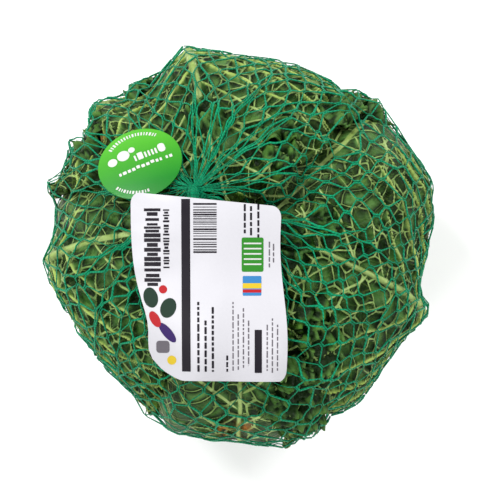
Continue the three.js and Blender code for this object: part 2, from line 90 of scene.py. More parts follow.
COVER_NEAR = 9.0
COVER_FAR = 24.0
DEGREE_MM = 1.5
LEAF_SEED = 40
LEAF_SEEDS_EACH = 20

# Net: knots in a ring, length of a strand from knot to knot, yarn width and thickness
GATHER = np.array([-19.6, 23.6, HEAD_MIDDLE + 74])
NET_COLUMNS = 47
NET_STRAND = 8.8
NET_GIRTH = 88.0
YARN_WIDE = 0.95
YARN_THICK = 0.8
YARN_SIDES = 6
KNOT_HALF = 1.5
YARN_STANDS = 0.5
YARN_LOWEST = 0.55
KNOT_LOWEST = 0.6
SETTLING_ROUNDS = 60
KNOT_SEED, NECK_SEED, YARN_SEED = 7, 19, 75
NET_MOUTH = 3.4
NET_END = 6.0
NET_STANDS_OFF = 2.6
NET_STANDS_OFF_RIM = 0.5
NET_DROP = 79.0
NET_FOOT_ROUNDNESS = 1.8
NECK_RISE = 9.2
NECK_LEAN = np.array([0.12, -1.0, 0.1]) / np.linalg.norm([0.12, -1.0, 0.1])
NECK_LENGTH = 15.0
NECK_RADIUS = 2.5
CLIP_PLACE = 7.5
CLIP_LENGTH = 4.0
CLIP_RADIUS = 4.2
CLIP_THICK = 0.7
CLIP_ROUNDING = 0.15


# Smooth noise and a network of cells, both from seeded tables

def noise_table(seed, layers=1):
    return np.random.default_rng(seed).uniform(-1, 1, (64, 64, layers))


def looked_up(table, column, row):
    return table[column % len(table), row % len(table)]


def rough(x, y, size, seed):
    """Smooth noise from -1 to 1, in patches of this size"""
    table = noise_table(seed)[:, :, 0]
    gx, gy = x / size, y / size
    ix, iy = np.floor(gx).astype(int), np.floor(gy).astype(int)
    fx, fy = gx - ix, gy - iy
    fx, fy = fx * fx * (3 - 2 * fx), fy * fy * (3 - 2 * fy)
    low = looked_up(table, ix, iy) * (1 - fx) + looked_up(table, ix + 1, iy) * fx
    high = looked_up(table, ix, iy + 1) * (1 - fx) + looked_up(table, ix + 1, iy + 1) * fx
    return low * (1 - fy) + high * fy


def cell_walls(x, y, size, seed, spread):
    """Millimetres to the nearest wall between cells, which side of it, and a number of its own for each cell"""
    table = noise_table(seed, 3)
    here = np.stack([x, y], axis=-1) / size
    base = np.floor(here).astype(int)

    def centre(dx, dy):
        ix, iy = base[..., 0] + dx, base[..., 1] + dy
        own = looked_up(table, ix, iy)
        place = np.stack([ix + 0.5 + spread * own[..., 0], iy + 0.5 + spread * own[..., 1]], axis=-1)
        return place, own[..., 2]

    nearest = np.full(x.shape, FAR_OFF)
    best = np.zeros(here.shape)
    own = np.zeros(x.shape)
    for dx in (-1, 0, 1):
        for dy in (-1, 0, 1):
            place, number = centre(dx, dy)
            distance = ((place - here) ** 2).sum(axis=-1)
            closer = distance < nearest
            nearest = np.where(closer, distance, nearest)
            best = np.where(closer[..., None], place, best)
            own = np.where(closer, number, own)
    wall = np.full(x.shape, FAR_OFF)
    side = np.ones(x.shape)
    for dx in (-2, -1, 0, 1, 2):
        for dy in (-2, -1, 0, 1, 2):
            place, _ = centre(dx, dy)
            apart = place - best
            length = np.sqrt((apart ** 2).sum(axis=-1))
            other = length > 1e-6
            away = ((0.5 * (place + best) - here) * apart).sum(axis=-1) / np.maximum(length, 1e-6)
            nearer = other & (away < wall)
            wall = np.where(nearer, away, wall)
            side = np.where(nearer, np.where(apart[..., 0] + 0.001 * apart[..., 1] > 0, 1, -1), side)
    return wall * size, side, own


def smooth_step(value, low, high):
    t = np.clip((value - low) / (high - low), 0, 1)
    return t * t * (3 - 2 * t)


def ridge(distance, width, power=2.0):
    return np.exp(-np.abs(distance / width) ** power)


def unit(vectors):
    return vectors / np.maximum(np.linalg.norm(vectors, axis=-1, keepdims=True), 1e-9)


# The outline of the whole head

def shoulder_rise(azimuth):
    rise = np.zeros_like(azimuth)
    for centre, height, spread in SHOULDERS + SWELLINGS:
        turn = (azimuth - centre + 180) % 360 - 180
        rise += height * np.exp(-(turn / spread) ** 2)
    return rise


def girth_at(x, y):
    return HEAD_GIRTH + shoulder_rise(np.degrees(np.arctan2(y, x)))


def rounded(direction, half, roundness):
    x, y, z = direction[..., 0], direction[..., 1], direction[..., 2]
    across = (np.hypot(x, y) / girth_at(x, y)) ** roundness
    along = (np.abs(z) / half) ** roundness
    return (across + along) ** (-1 / roundness)


def envelope(direction):
    half = np.where(direction[..., 2] > 0, HEAD_RISE, HEAD_DROP)
    return rounded(direction, half, HEAD_ROUNDNESS)


def top_height(x, y):
    share = np.minimum(1, np.hypot(x, y) / girth_at(x, y)) ** HEAD_ROUNDNESS
    return HEAD_MIDDLE + HEAD_RISE * (1 - share) ** (1 / HEAD_ROUNDNESS)


def towards_top(x, y):
    """Direction from the middle of the head to its top above a place on the plan"""
    return unit(np.stack([x, y, top_height(x, y) - HEAD_MIDDLE], axis=-1))


# Places on a leaf: degrees along its midrib from straight below, and degrees to the side

def leaf_direction(azimuth, along, across):
    turn = np.radians(azimuth)
    rise, side = np.radians(along), np.radians(across)
    on_rib = np.stack([np.sin(rise) * np.cos(turn), np.sin(rise) * np.sin(turn), -np.cos(rise)], axis=-1)
    beside = np.array([-np.sin(turn), np.cos(turn), 0.0])
    return on_rib * np.cos(side)[..., None] + beside * np.sin(side)[..., None]


def leaf_place(azimuth, direction):
    turn = np.radians(azimuth)
    x, y, z = direction[..., 0], direction[..., 1], direction[..., 2]
    forward = x * np.cos(turn) + y * np.sin(turn)
    side = y * np.cos(turn) - x * np.sin(turn)
    along = np.degrees(np.arctan2(forward, -z))
    along = np.where(along < -90, along + 360, along)
    return along, np.degrees(np.arcsin(np.clip(side, -1, 1)))


def foot_place(foot, turn):
    foot = np.radians(foot)
    along = np.degrees(np.arctan(np.tan(foot) * np.cos(turn)))
    across = np.degrees(np.arcsin(np.sin(foot) * np.sin(turn)))
    return along, across


def lower_half_width(leaf, foot, along):
    grown = np.sin(np.pi / 2 * np.clip((along - foot) / (LEAF_WIDEST - foot), 0, 1))
    _, narrow = foot_place(foot, math.radians(LEAF_FOOT_TURN))
    return narrow + (leaf.half_width - narrow) * grown


def near_margin(leaf, foot, along, across):
    """From 0 on the midrib to 1 at the margin"""
    lower = np.abs(across) / lower_half_width(leaf, foot, along)
    upper = np.hypot((along - LEAF_WIDEST) / (leaf.tip - LEAF_WIDEST), across / leaf.half_width)
    return np.where(along < LEAF_WIDEST, lower, upper)


def cover(leaf, foot, direction):
    """1 where the leaf lies over what is below it, and 0 away from it"""
    along, across = leaf_place(leaf.azimuth, direction)
    beside = (near_margin(leaf, foot, along, across) - 1) * lower_half_width(leaf, foot, along)
    return 1 - smooth_step(np.maximum(beside, foot - along), COVER_NEAR, COVER_FAR)


def covers_over(count, direction):
    total = np.zeros(direction.shape[:-1])
    for leaf, foot in zip(LEAVES[:count], feet[:count]):
        total += cover(leaf, foot, direction)
    return total


feet = []
for number, leaf in enumerate(LEAVES):
    guess = leaf_direction(leaf.azimuth, np.array([LEAF_FOOT_GUESS]), np.array([0.0]))
    inside = envelope(guess) - LEAF_PITCH * covers_over(number, guess) - LEAF_FOOT_DEPTH
    feet.append(math.degrees(math.asin((STUMP_RADIUS + LEAF_FOOT_GAP) / inside[0])))


# Relief of a leaf: midrib, branching ribs, the network between them, sunk cells and a frilled margin

LATERAL_GAP = 19.0
LATERAL_SLOPE = 0.85
LATERAL_ACROSS = 14.4
CELL_SIZE = 9.0
FINE_CELL = 4.2
ELBOW = 92.0


def leaf_relief(leaf, foot, along, across, seed):
    """Height of the relief, and what the leaf's finish is told about each point. Widths and patch sizes are in
    millimetres on the leaf"""
    s, w = along * DEGREE_MM, across * DEGREE_MM
    w = w + leaf.lean * np.maximum(along - ELBOW, 0)
    grown = np.clip((along - foot) / (leaf.tip - foot), 0, 1)
    straight = smooth_step(np.abs(w), 2, 22)
    s = s + straight * (4.4 * rough(s, w, 27, seed) + 2.0 * rough(s, w, 10, seed + 1))
    w = w + (0.3 + 0.7 * straight) * (2.8 * rough(s + 300, w, 29, seed + 2) + 1.3 * rough(s, w + 300, 10, seed + 3))
    out = np.abs(w)
    base = leaf.rib_height / THICK_RIB
    rib_width = 0.7 + 4.2 * base * (1 - grown) ** 1.25
    rib = ridge(w, rib_width, 2.8)
    rib_height = leaf.rib_height * (1 - grown) ** 1.1 + 0.9
    branch = (s - LATERAL_SLOPE * out - 0.003 * out ** 2) / LATERAL_GAP + np.where(w < 0, 0.47, 0) + 10
    number = np.round(branch)
    off_branch = (branch - number) * LATERAL_ACROSS
    elbow = ridge(along - ELBOW - 10 - out * 0.3, 28) * base
    side_width = (0.44 + 0.22 * elbow) * (1 - 0.4 * smooth_step(out, 15, 80))
    side_width = side_width * (0.85 + 0.35 * rough(s, w, 40, seed + 4) + 0.2 * np.sin(number * 2.3 + seed))
    side = ridge(off_branch, side_width * 1.15 + 0.35, 2.2) * smooth_step(out, -2, 4)
    bent_s = s + 0.35 * out + 1.1 * rough(s, w, 6, seed + 13)
    bent_w = w + 400 + 1.1 * rough(s, w, 6, seed + 14)
    wall, wall_side, own = cell_walls(bent_s, bent_w, CELL_SIZE, seed + 5, 0.44)
    patch = rough(s, w, 30, seed + 9)
    net_width = np.clip(0.34 + 0.06 * own + 0.2 * patch, 0.08, 0.62)
    fine_wall, fine_side, _ = cell_walls(s + 40, w + 400, FINE_CELL, seed + 6, 0.45)
    bowl = smooth_step(wall, 0.2, 2.8) * smooth_step(np.abs(off_branch), 0.2, 2.6) * (1 - rib)
    depth = 2.4 + 1.2 * own
    swell = rough(s, w, 17, seed + 7) * 1.3 + rough(s, w, 6, seed + 8) * 0.5 + rough(s, w, 2.6, seed + 12) * 0.3
    height = rib_height * rib
    height = np.maximum(height, (0.9 + 0.7 * elbow) * side)
    height = np.maximum(height, (0.5 + 0.6 * net_width) * ridge(wall, 0.8))
    height = height + 0.4 * ridge(fine_wall, 0.6) * bowl - depth * bowl
    height = height + swell * (1 - 0.7 * np.maximum(rib, side))
    halo = ridge(along - ELBOW, 8.5) * ridge(out, 9) * base
    stem = np.maximum(np.maximum(rib * (1 - grown) * 1.3, side * elbow), halo)
    told = {
        "rib": np.clip(rib_width * 0.92 - out, -2, 2),
        "branch": branch,
        "branch_width": side_width * smooth_step(out, 0, 4),
        "wall": np.clip(wall, 0, 3) * wall_side,
        "wall_far": np.clip(wall, 0, 3),
        "wall_width": net_width,
        "fine": np.clip(fine_wall, 0, 3) * fine_side,
        "fine_far": np.clip(fine_wall, 0, 3),
        "stem": np.clip(stem, 0, 1),
        # The pit value marks the sunk cells, which the finish darkens as painted shade
        "pit": bowl * smooth_step(own, -0.9, 1.0),
    }
    return height, told


def margin_frill(leaf, foot, along, across, seed):
    near = near_margin(leaf, foot, along, across)
    turn = np.arctan2(across, along - LEAF_WIDEST)
    strong = smooth_step(near, 0.80, 1.0)
    edge = smooth_step(near, 0.93, 1.0)
    wave = 0.5 + 0.5 * np.sin(9 * turn + leaf.azimuth)
    lift = 1.8 * strong * wave
    lift += strong * (1.3 * np.sin(26 * turn + seed) + 0.8 * np.sin(47 * turn + 2 * seed))
    lift += edge * 1.6 * rough(along * DEGREE_MM, across * DEGREE_MM, 4.5, seed + 11)
    return lift, near


# Picking pieces, and sheets that begin as a grid whose points are then laid in place

UV_MM = 100


def pick(*pieces):
    """Selects these pieces alone, with the first one active"""
    if bpy.context.object and bpy.context.object.mode != "OBJECT":
        bpy.ops.object.mode_set(mode="OBJECT")
    bpy.ops.object.select_all(action="DESELECT")
    for piece in pieces:
        piece.select_set(True)
    if pieces:
        bpy.context.view_layer.objects.active = pieces[0]


def joined(pieces, name):
    pick(*pieces)
    if len(pieces) > 1:
        bpy.ops.object.join()
    pieces[0].name = name
    return pieces[0]


def added(name, data):
    item = bpy.data.objects.new(name, data)
    bpy.context.scene.collection.objects.link(item)
    return item


def edit_whole(*steps):
    """Each step is a mesh operator with its settings, used on all of the active piece"""
    bpy.ops.object.mode_set(mode="EDIT")
    for operator, settings in steps:
        bpy.ops.mesh.select_all(action="SELECT")
        operator(**settings)
    bpy.ops.object.mode_set(mode="OBJECT")


def use_modifier(piece, kind, **settings):
    bpy.ops.object.modifier_add(type=kind)
    modifier = piece.modifiers[-1]
    for key, value in settings.items():
        setattr(modifier, key, value)
    bpy.ops.object.modifier_apply(modifier=modifier.name)


def points_of(mesh):
    held = np.empty(len(mesh.vertices) * 3)
    mesh.vertices.foreach_get("co", held)
    return held.reshape(-1, 3)


def lay_points(mesh, points, flat):
    """Puts the points in place, with their flat places in millimetres as the UV map"""
    mesh.vertices.foreach_set("co", ((points + SHIFT) * MM).ravel())
    corner = np.empty(len(mesh.loops), dtype=int)
    mesh.loops.foreach_get("vertex_index", corner)
    mesh.uv_layers.active.data.foreach_set("uv", (flat[corner] / UV_MM).ravel())
    mesh.update()


def laid_grid(name, points, flat):
    """A grid of rows and columns of points, and the order that its mesh holds them in"""
    rows, columns = points.shape[:2]
    pick()
    bpy.ops.mesh.primitive_grid_add(x_subdivisions=columns - 1, y_subdivisions=rows - 1, size=1)
    piece = bpy.context.active_object
    piece.name = name
    start = points_of(piece.data)
    column = np.rint((start[:, 0] + 0.5) * (columns - 1)).astype(int)
    row = np.rint((start[:, 1] + 0.5) * (rows - 1)).astype(int)
    lay_points(piece.data, points[row, column], flat[row, column])
    return piece, (row, column)


def give_values(piece, order, **values):
    for name, grid in values.items():
        held = piece.data.attributes.new(name, "FLOAT", "POINT")
        held.data.foreach_set("value", grid[order].ravel().astype(np.float32))


def thicken(piece, thickness, offset=-1.0):
    pick(piece)
    bpy.ops.object.shade_smooth()
    use_modifier(piece, "SOLIDIFY", thickness=thickness * MM, offset=offset)


def finish_piece(piece, slot, *nodes):
    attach(piece, "root")
    if nodes:
        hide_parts(*nodes)


# How far the dressed head reaches in each direction, kept on a folded square map

REACH_MAP = 300
reach = np.zeros((REACH_MAP, REACH_MAP))


def map_place(direction):
    """Row and column of a direction on the map"""
    flat = direction / np.abs(direction).sum(axis=-1, keepdims=True)
    x, y, z = flat[..., 0], flat[..., 1], flat[..., 2]
    sign_x, sign_y = np.where(x >= 0, 1, -1), np.where(y >= 0, 1, -1)
    u = np.where(z >= 0, x, (1 - np.abs(y)) * sign_x)
    v = np.where(z >= 0, y, (1 - np.abs(x)) * sign_y)
    last = REACH_MAP - 1
    row = np.clip(np.rint((u + 1) / 2 * last), 0, last).astype(int)
    column = np.clip(np.rint((v + 1) / 2 * last), 0, last).astype(int)
    return row, column


def note_reach(points):
    offset = points.reshape(-1, 3) - MIDDLE
    distance = np.linalg.norm(offset, axis=-1)
    np.maximum.at(reach, map_place(offset / distance[:, None]), distance)


def widened(grid):
    out = grid.copy()
    for dx in (-1, 0, 1):
        for dy in (-1, 0, 1):
            out = np.maximum(out, np.roll(np.roll(grid, dx, 0), dy, 1))
    return out


# Where an inner leaf fills the gap between two outer ones: its number, azimuth, spread, rise, low and high end
FILLED_GAPS = [
    (4, 34.0, 12.0, 5.5, -30.0, 45.0),
    (3, 262.0, 17.0, 3.6, -40.0, 40.0),
    (3, 246.0, 6.5, 3.6, -40.0, 30.0),
    (4, 50.0, 8.0, 5.0, -30.0, 35.0),
]


def filling(leaf_number, direction):
    """How far out an inner leaf swells to fill its gaps"""
    azimuth = np.degrees(np.arctan2(direction[..., 1], direction[..., 0])) % 360
    height = np.degrees(np.arcsin(np.clip(direction[..., 2], -1, 1)))
    rise = np.zeros(azimuth.shape)
    for number, centre, spread, most, low, high in FILLED_GAPS:
        if number == leaf_number:
            band = smooth_step(height, low - 12, low + 12) * (1 - smooth_step(height, high - 15, high + 15))
            rise += most * ridge(azimuth - centre, spread, 4.0) * band
    return rise


# Leaves, and where their tips have wilted: place on the plan and size

WILTED = [(-8.6, -88.0, 3.2), (1.9, -86.0, 3.4), (-66.0, 52.0, 2.5)]


def dressed_leaf(number):
    leaf, foot = LEAVES[number], feet[number]
    share = np.linspace(0, 1, leaf.rows)[:, None]
    step = np.linspace(-1, 1, 2 * leaf.columns + 1)[None, :]
    out = np.sign(step) * np.abs(step) ** COLUMN_CROWDING
    start = foot + (leaf.tip - foot) * (1 - (1 - share) ** ROW_CROWDING)
    low = share < LEAF_WIDEST_ROW
    low_along = foot + (LEAF_WIDEST - foot) * share / LEAF_WIDEST_ROW
    high_turn = np.radians(LEAF_LAST * (share - LEAF_WIDEST_ROW) / (1 - LEAF_WIDEST_ROW))
    end_along = np.where(low, low_along, LEAF_WIDEST + (leaf.tip - LEAF_WIDEST) * np.sin(high_turn))
    end_across = np.where(low, lower_half_width(leaf, foot, low_along), leaf.half_width * np.cos(high_turn))
    sway = 2.2 * np.sin(2 * np.pi * 9 * share * (1 - share)) + 0.9 * np.sin(2 * np.pi * 31 * share + number)
    end_across = end_across + sway * smooth_step(share, 0.05, 0.2)
    foot_tie = np.maximum(0, 1 - share / FOOT_ROWS)
    foot_along, foot_across = foot_place(foot, np.radians(LEAF_FOOT_TURN * out))
    along = (start + (end_along - start) * np.abs(out)) * (1 - foot_tie) + foot_along * foot_tie
    across = end_across * out * (1 - foot_tie) + foot_across * foot_tie
    direction = leaf_direction(leaf.azimuth, along, across)
    covers = covers_over(number, direction)
    bare = np.maximum(0, 1 - covers)
    seed = LEAF_SEED + LEAF_SEEDS_EACH * number
    height, told = leaf_relief(leaf, foot, along, across, seed)
    lift, near = margin_frill(leaf, foot, along, across, seed)
    at_foot = smooth_step(share, 0.0, 0.06)
    level = envelope(direction) - LEAF_PITCH * covers + 0.9 + (height * at_foot + lift) * bare
    level = level + filling(number, direction)
    points = direction * level[..., None] + MIDDLE
    flat = np.stack([across * DEGREE_MM, along * DEGREE_MM], axis=-1)
    piece, order = laid_grid(f"savoy_leaf_{number + 1}", points, flat)
    wilt = np.zeros(level.shape)
    for x, y, size in WILTED:
        wilt = np.maximum(wilt, ridge(np.hypot(points[..., 0] - x, points[..., 1] - y), size))
    wilt = wilt * smooth_step(points[..., 2], HEAD_MIDDLE + 10, HEAD_MIDDLE + 24)
    # On the leaves the rim value is the margin's own lighter green
    give_values(piece, order, rim=smooth_step(near, 0.84, 1.0), wilt=wilt, **told)
    note_reach(points)
    piece.data.materials.append(leaf_finish)
    thicken(piece, BLADE)
    finish_piece(piece, "leaf", f"leaf_{number + 1}")


# Curled edges of the inner leaves: places on the plan, half width, fold length and how strong the painted highlight
# on their crests is
CURLS = [
    ([(24.48, 14.4), (27.36, 2.4), (25.44, -11.04)], 10.0, 13.0, 0.15),
    ([(24.96, -30.24), (30.72, -35.04), (39.36, -36.0)], 12.0, 12.0, 1.0),
    ([(32.64, -35.04), (38.4, -43.2), (39.36, -55.2), (35.52, -64.8)], 10.0, 12.0, 0.6),
    ([(23.04, -51.36), (27.36, -62.4), (24.0, -74.4)], 9.0, 11.0, 0.3),
    ([(8.64, 49.44), (18.24, 53.28), (28.8, 49.92)], 8.0, 13.0, 0.5),
    ([(11.52, 36.96), (19.2, 44.64), (26.88, 39.84)], 8.0, 13.0, 0.35),
    ([(39.36, 59.04), (50.4, 63.84), (60.48, 65.76), (71.04, 58.08)], 9.0, 12.0, 0.2),
    ([(13.44, -75.36), (21.12, -81.12), (30.72, -85.92)], 8.0, 12.0, 0.45),
    ([(35.52, -67.2), (30.72, -74.4), (31.68, -82.08)], 8.0, 11.0, 0.4),
    ([(-52.32, 67.68), (-45.6, 72.0), (-38.4, 74.88)], 7.0, 11.0, 0.5),
    ([(-21.12, 65.76), (-13.44, 59.04), (-9.6, 49.44)], 8.0, 11.0, 0.15),
    ([(-64.32, 56.16), (-68.16, 47.52), (-71.04, 37.92)], 7.0, 11.0, 0.4),
    ([(43.2, 21.6), (39.36, 11.04), (43.2, -0.48)], 8.0, 12.0, 0.1),
]
CURL_STANDS = 1.4
CURL_FOLD = 3.0
CURL_THICK = 0.7
CURL_STEP = 0.5
CURL_COLUMNS = 27
CURL_LEVELLED = 17
BEAT_SEED, WIDTH_SEED, CREST_SEED, SMALL_CREST_SEED = 590, 600, 700, 750


def smooth_path(points, count):
    """Even places along a line whose corners are cut off twice"""
    points = np.array(points, dtype=float)
    share = np.linspace(0, 1, count)
    for _ in range(2):
        middles = (points[1:] + points[:-1]) / 2
        points = np.concatenate([points[:1], middles, points[-1:]])
    run = np.append(0, np.cumsum(np.linalg.norm(np.diff(points, axis=0), axis=1)))
    return np.stack([np.interp(share * run[-1], run, points[:, k]) for k in (0, 1)], axis=-1)


def dressed_curls():
    pieces = []
    for number, (path, width, fold, crest_highlight) in enumerate(CURLS):
        table = widened(reach)
        length = np.linalg.norm(np.diff(path, axis=0), axis=1).sum()
        outward = towards_top(*smooth_path(path, int(length / CURL_STEP)).T)
        level = table[map_place(outward)]
        level = np.convolve(np.pad(level, CURL_LEVELLED // 2, mode="edge"), np.ones(CURL_LEVELLED) / CURL_LEVELLED,
                            mode="valid")
        base = outward * (level + CURL_STANDS)[:, None] + MIDDLE
        along = unit(np.gradient(base, axis=0))
        beside = unit(np.cross(outward, along))
        run = np.append(0, np.cumsum(np.linalg.norm(np.diff(base, axis=0), axis=1)))[:, None]
        share = np.linspace(-1, 1, CURL_COLUMNS)[None, :]
        beat = 2 * np.pi * run / fold + 1.4 * rough(run, 0 * run + 7 * number, 9, BEAT_SEED + number)
        ends = smooth_step(np.minimum(run, run[-1] - run), 0, 6)
        off = width * share * (0.35 + 0.65 * ends) * (1 + 0.25 * rough(run, 2 * share, 8, WIDTH_SEED + number))
        fold_high = CURL_FOLD * np.sin(beat + 1.3 * share) * np.abs(share) ** 0.6
        second = 0.55 * CURL_FOLD * np.sin(2.3 * beat - 2.1 * share + number) * np.abs(share)
        place = run + 0 * share + 300, 1.3 * off + 0 * run + 300 + 40 * number
        crests = 1 - 2.2 * np.abs(rough(*place, 5.0, CREST_SEED + number))
        small_crests = 1 - 2.2 * np.abs(rough(*place, 2.3, SMALL_CREST_SEED + number))
        crumple = 1.9 * crests + 1.3 * small_crests
        hang = -0.045 * off ** 2
        height = (fold_high + second + crumple) * ends + hang - 2.5 * (1 - ends)
        sway = 0.16 * fold * np.abs(share) * np.cos(beat + 0.6) * ends
        points = (base[:, None] + beside[:, None] * off[..., None] + outward[:, None] * height[..., None]
                  + along[:, None] * sway[..., None])
        flat = np.stack([off + 0 * run, run + 0 * share], axis=-1)
        piece, order = laid_grid(f"curled_edge_{number + 1}", points, flat)
        # Painted shade in the troughs of the folds through the pit value, and a painted highlight on the crests
        # through the rim value
        low = smooth_step(-(0.35 * fold_high + 0.35 * second + crumple), -3.0, 0.3)
        give_values(piece, order, **plain_told(3 + 0 * low, 1, 0.0, (0.1 + 0.8 * crest_highlight) * (1 - low), low))
        note_reach(points)
        piece.data.materials.append(leaf_finish)
        thicken(piece, CURL_THICK, 0)
        pieces.append(piece)
    finish_piece(joined(pieces, "curled_edges"), "heart", "heart")


def plain_told(wall, wall_side, width, rim, pit):
    """What the leaf's finish is told where there is only a network of veins"""
    none = 0 * wall
    return {"rib": none - 2, "branch": none + 0.5, "branch_width": none, "wall": np.clip(wall, 0, 3) * wall_side,
            "wall_far": np.clip(wall, 0, 3), "wall_width": none + width, "fine": none + 3, "fine_far": none + 3,
            "stem": none, "pit": pit, "rim": rim, "wilt": none}


HEART_GIRTH = 90
HEART_CELL = 6.5
HEART_SEED = 901


def dressed_heart():
    polar = np.linspace(0.02, np.pi - 0.02, 150)[:, None]
    turn = np.linspace(0, 2 * np.pi, 220)[None, :]
    direction = np.stack(np.broadcast_arrays(np.sin(polar) * np.cos(turn), np.sin(polar) * np.sin(turn),
                                             -np.cos(polar)), axis=-1)
    covers = covers_over(len(LEAVES), direction)
    frill = np.abs(np.sin(7 * (turn + 2 * (np.pi - polar)) / 2))
    sunk = LEAF_PITCH * covers + 2.6 * np.minimum(1, covers)
    bare = np.maximum(0, 1 - covers)
    flat = direction[..., :2] * HEART_GIRTH
    wall, wall_side, own = cell_walls(flat[..., 0] + 200, flat[..., 1] + 200, HEART_CELL, HEART_SEED, 0.4)
    bulge = smooth_step(wall, 0, 2.6) * (0.8 + 0.4 * own)
    level = envelope(direction) - sunk - 1.6 * frill * bare - 1.0 + bulge * 0.8
    points = direction * level[..., None] + MIDDLE
    piece, order = laid_grid("savoy_heart", points, flat)
    # Painted highlight: the rim value makes the tops of the blisters lighter
    give_values(piece, order, **plain_told(wall, wall_side, 0.25, 0.7 * bulge, 0 * wall))
    note_reach(points)
    pick(piece)
    bpy.ops.object.mode_set(mode="EDIT")
    bpy.ops.mesh.select_all(action="SELECT")
    bpy.ops.mesh.remove_doubles(threshold=0.1 * MM)
    bpy.ops.mesh.select_all(action="DESELECT")
    bpy.ops.mesh.select_non_manifold()
    bpy.ops.mesh.edge_face_add()
    edit_whole((bpy.ops.mesh.normals_make_consistent, {"inside": False}))
    bpy.ops.object.shade_smooth()
    piece.data.materials.append(leaf_finish)
    finish_piece(piece, "heart", "heart")


STUMP_DEPTH = 38.0
STUMP_INSET = 0.8
STUMP_BEVEL = 1.4


def dressed_stump():
    pick()
    bpy.ops.mesh.primitive_cylinder_add(vertices=64, radius=(STUMP_RADIUS - STUMP_INSET) * MM,
                                        depth=STUMP_DEPTH * MM,
                                        location=(SHIFT[0] * MM, SHIFT[1] * MM, (STUMP_FACE + STUMP_DEPTH / 2) * MM))
    piece = bpy.context.active_object
    piece.name = "cut_stump"
    bpy.ops.object.transform_apply(location=True, rotation=True, scale=True)
    edit_whole((bpy.ops.mesh.bevel, {"offset": STUMP_BEVEL * MM, "segments": 3}),
               (bpy.ops.mesh.subdivide, {"number_cuts": 2}))
    for v in piece.data.vertices:
        x, y = v.co.x / MM - SHIFT[0], v.co.y / MM - SHIFT[1]
        turn = math.atan2(y, x)
        push = 1 + 0.025 * math.sin(5 * turn + 1) + 0.015 * math.sin(11 * turn)
        v.co.x = (x * push + SHIFT[0]) * MM
        v.co.y = (y * push + SHIFT[1]) * MM
    bpy.ops.object.shade_smooth()
    piece.data.materials.append(stump_finish)
    finish_piece(piece, "heart", "heart")


# Net: rings of knots round the line from the gather down to the drawn up end

net_axis = (GATHER - MIDDLE) / np.linalg.norm(GATHER - MIDDLE)
net_east = np.array([1.0, 0, 0]) - net_axis * net_axis[0]
net_east /= np.linalg.norm(net_east)
net_north = np.cross(net_axis, net_east)
# Places on the plan where the strands stand apart or, with a minus, are pinched together: push and reach
OPEN_CELLS = [(46.0, 50.4, 7.6, 10.0), (-62.0, -35.0, 3.0, 10.0), (60.0, -20.0, 2.5, 10.0),
              (44.0, 62.0, -3.0, 8.0), (34.0, 48.0, -3.0, 8.0), (30.0, 33.0, -2.6, 8.0), (58.0, 2.0, -2.6, 9.0),
              (40.0, -22.0, -2.4, 8.0), (36.0, -58.0, -2.6, 9.0), (-58.0, -2.0, -2.6, 9.0), (10.0, 72.0, -2.4, 9.0),
              (-64.0, -30.0, -3.2, 9.0), (-50.0, -52.0, -3.0, 9.0), (-74.0, -14.0, -3.0, 9.0),
              (-42.0, 66.0, -2.6, 8.0), (-10.0, 60.0, -2.6, 8.0), (72.0, -8.0, -2.8, 8.0), (52.0, -66.0, -2.8, 8.0),
              (62.0, -46.0, 2.4, 10.0), (-30.0, -74.0, -2.4, 9.0), (-70.0, 22.0, 2.2, 9.0), (70.0, 26.0, 2.6, 11.0)]
# Lines that strands are drawn together along: points on the plan, the pull and how far it reaches
DRAWN_LINES = [
    ([(-50.0, -9.0), (-61.0, -20.0), (-66.0, -32.0), (-67.0, -43.0), (-66.0, -55.0)], 6.0, 7.5),
    ([(-48.0, -19.0), (-54.0, -33.0), (-57.0, -47.0), (-55.0, -61.0)], 5.0, 6.5),
]


def net_rings():
    girth = HEAD_GIRTH + 3
    end = math.pi - math.radians(NET_END)
    rings = [math.radians(NET_MOUTH)]
    while rings[-1] < end:
        aside = math.pi * girth * math.sin(rings[-1]) / NET_COLUMNS
        rings.append(rings[-1] + math.sqrt(NET_STRAND ** 2 - aside ** 2) / girth)
    fit = (end - rings[0]) / (rings[-1] - rings[0])
    return np.array([rings[0] + (polar - rings[0]) * fit for polar in rings])


def net_direction(polar, turn):
    out = net_east * np.cos(turn)[..., None] + net_north * np.sin(turn)[..., None]
    return net_axis * np.cos(polar)[..., None] + out * np.sin(polar)[..., None]


def floor_distance(direction):
    z = direction[..., 2]
    return np.where(z < -0.01, (HEAD_MIDDLE - KNOT_LOWEST) / np.maximum(-z, 0.01), FAR_OFF)


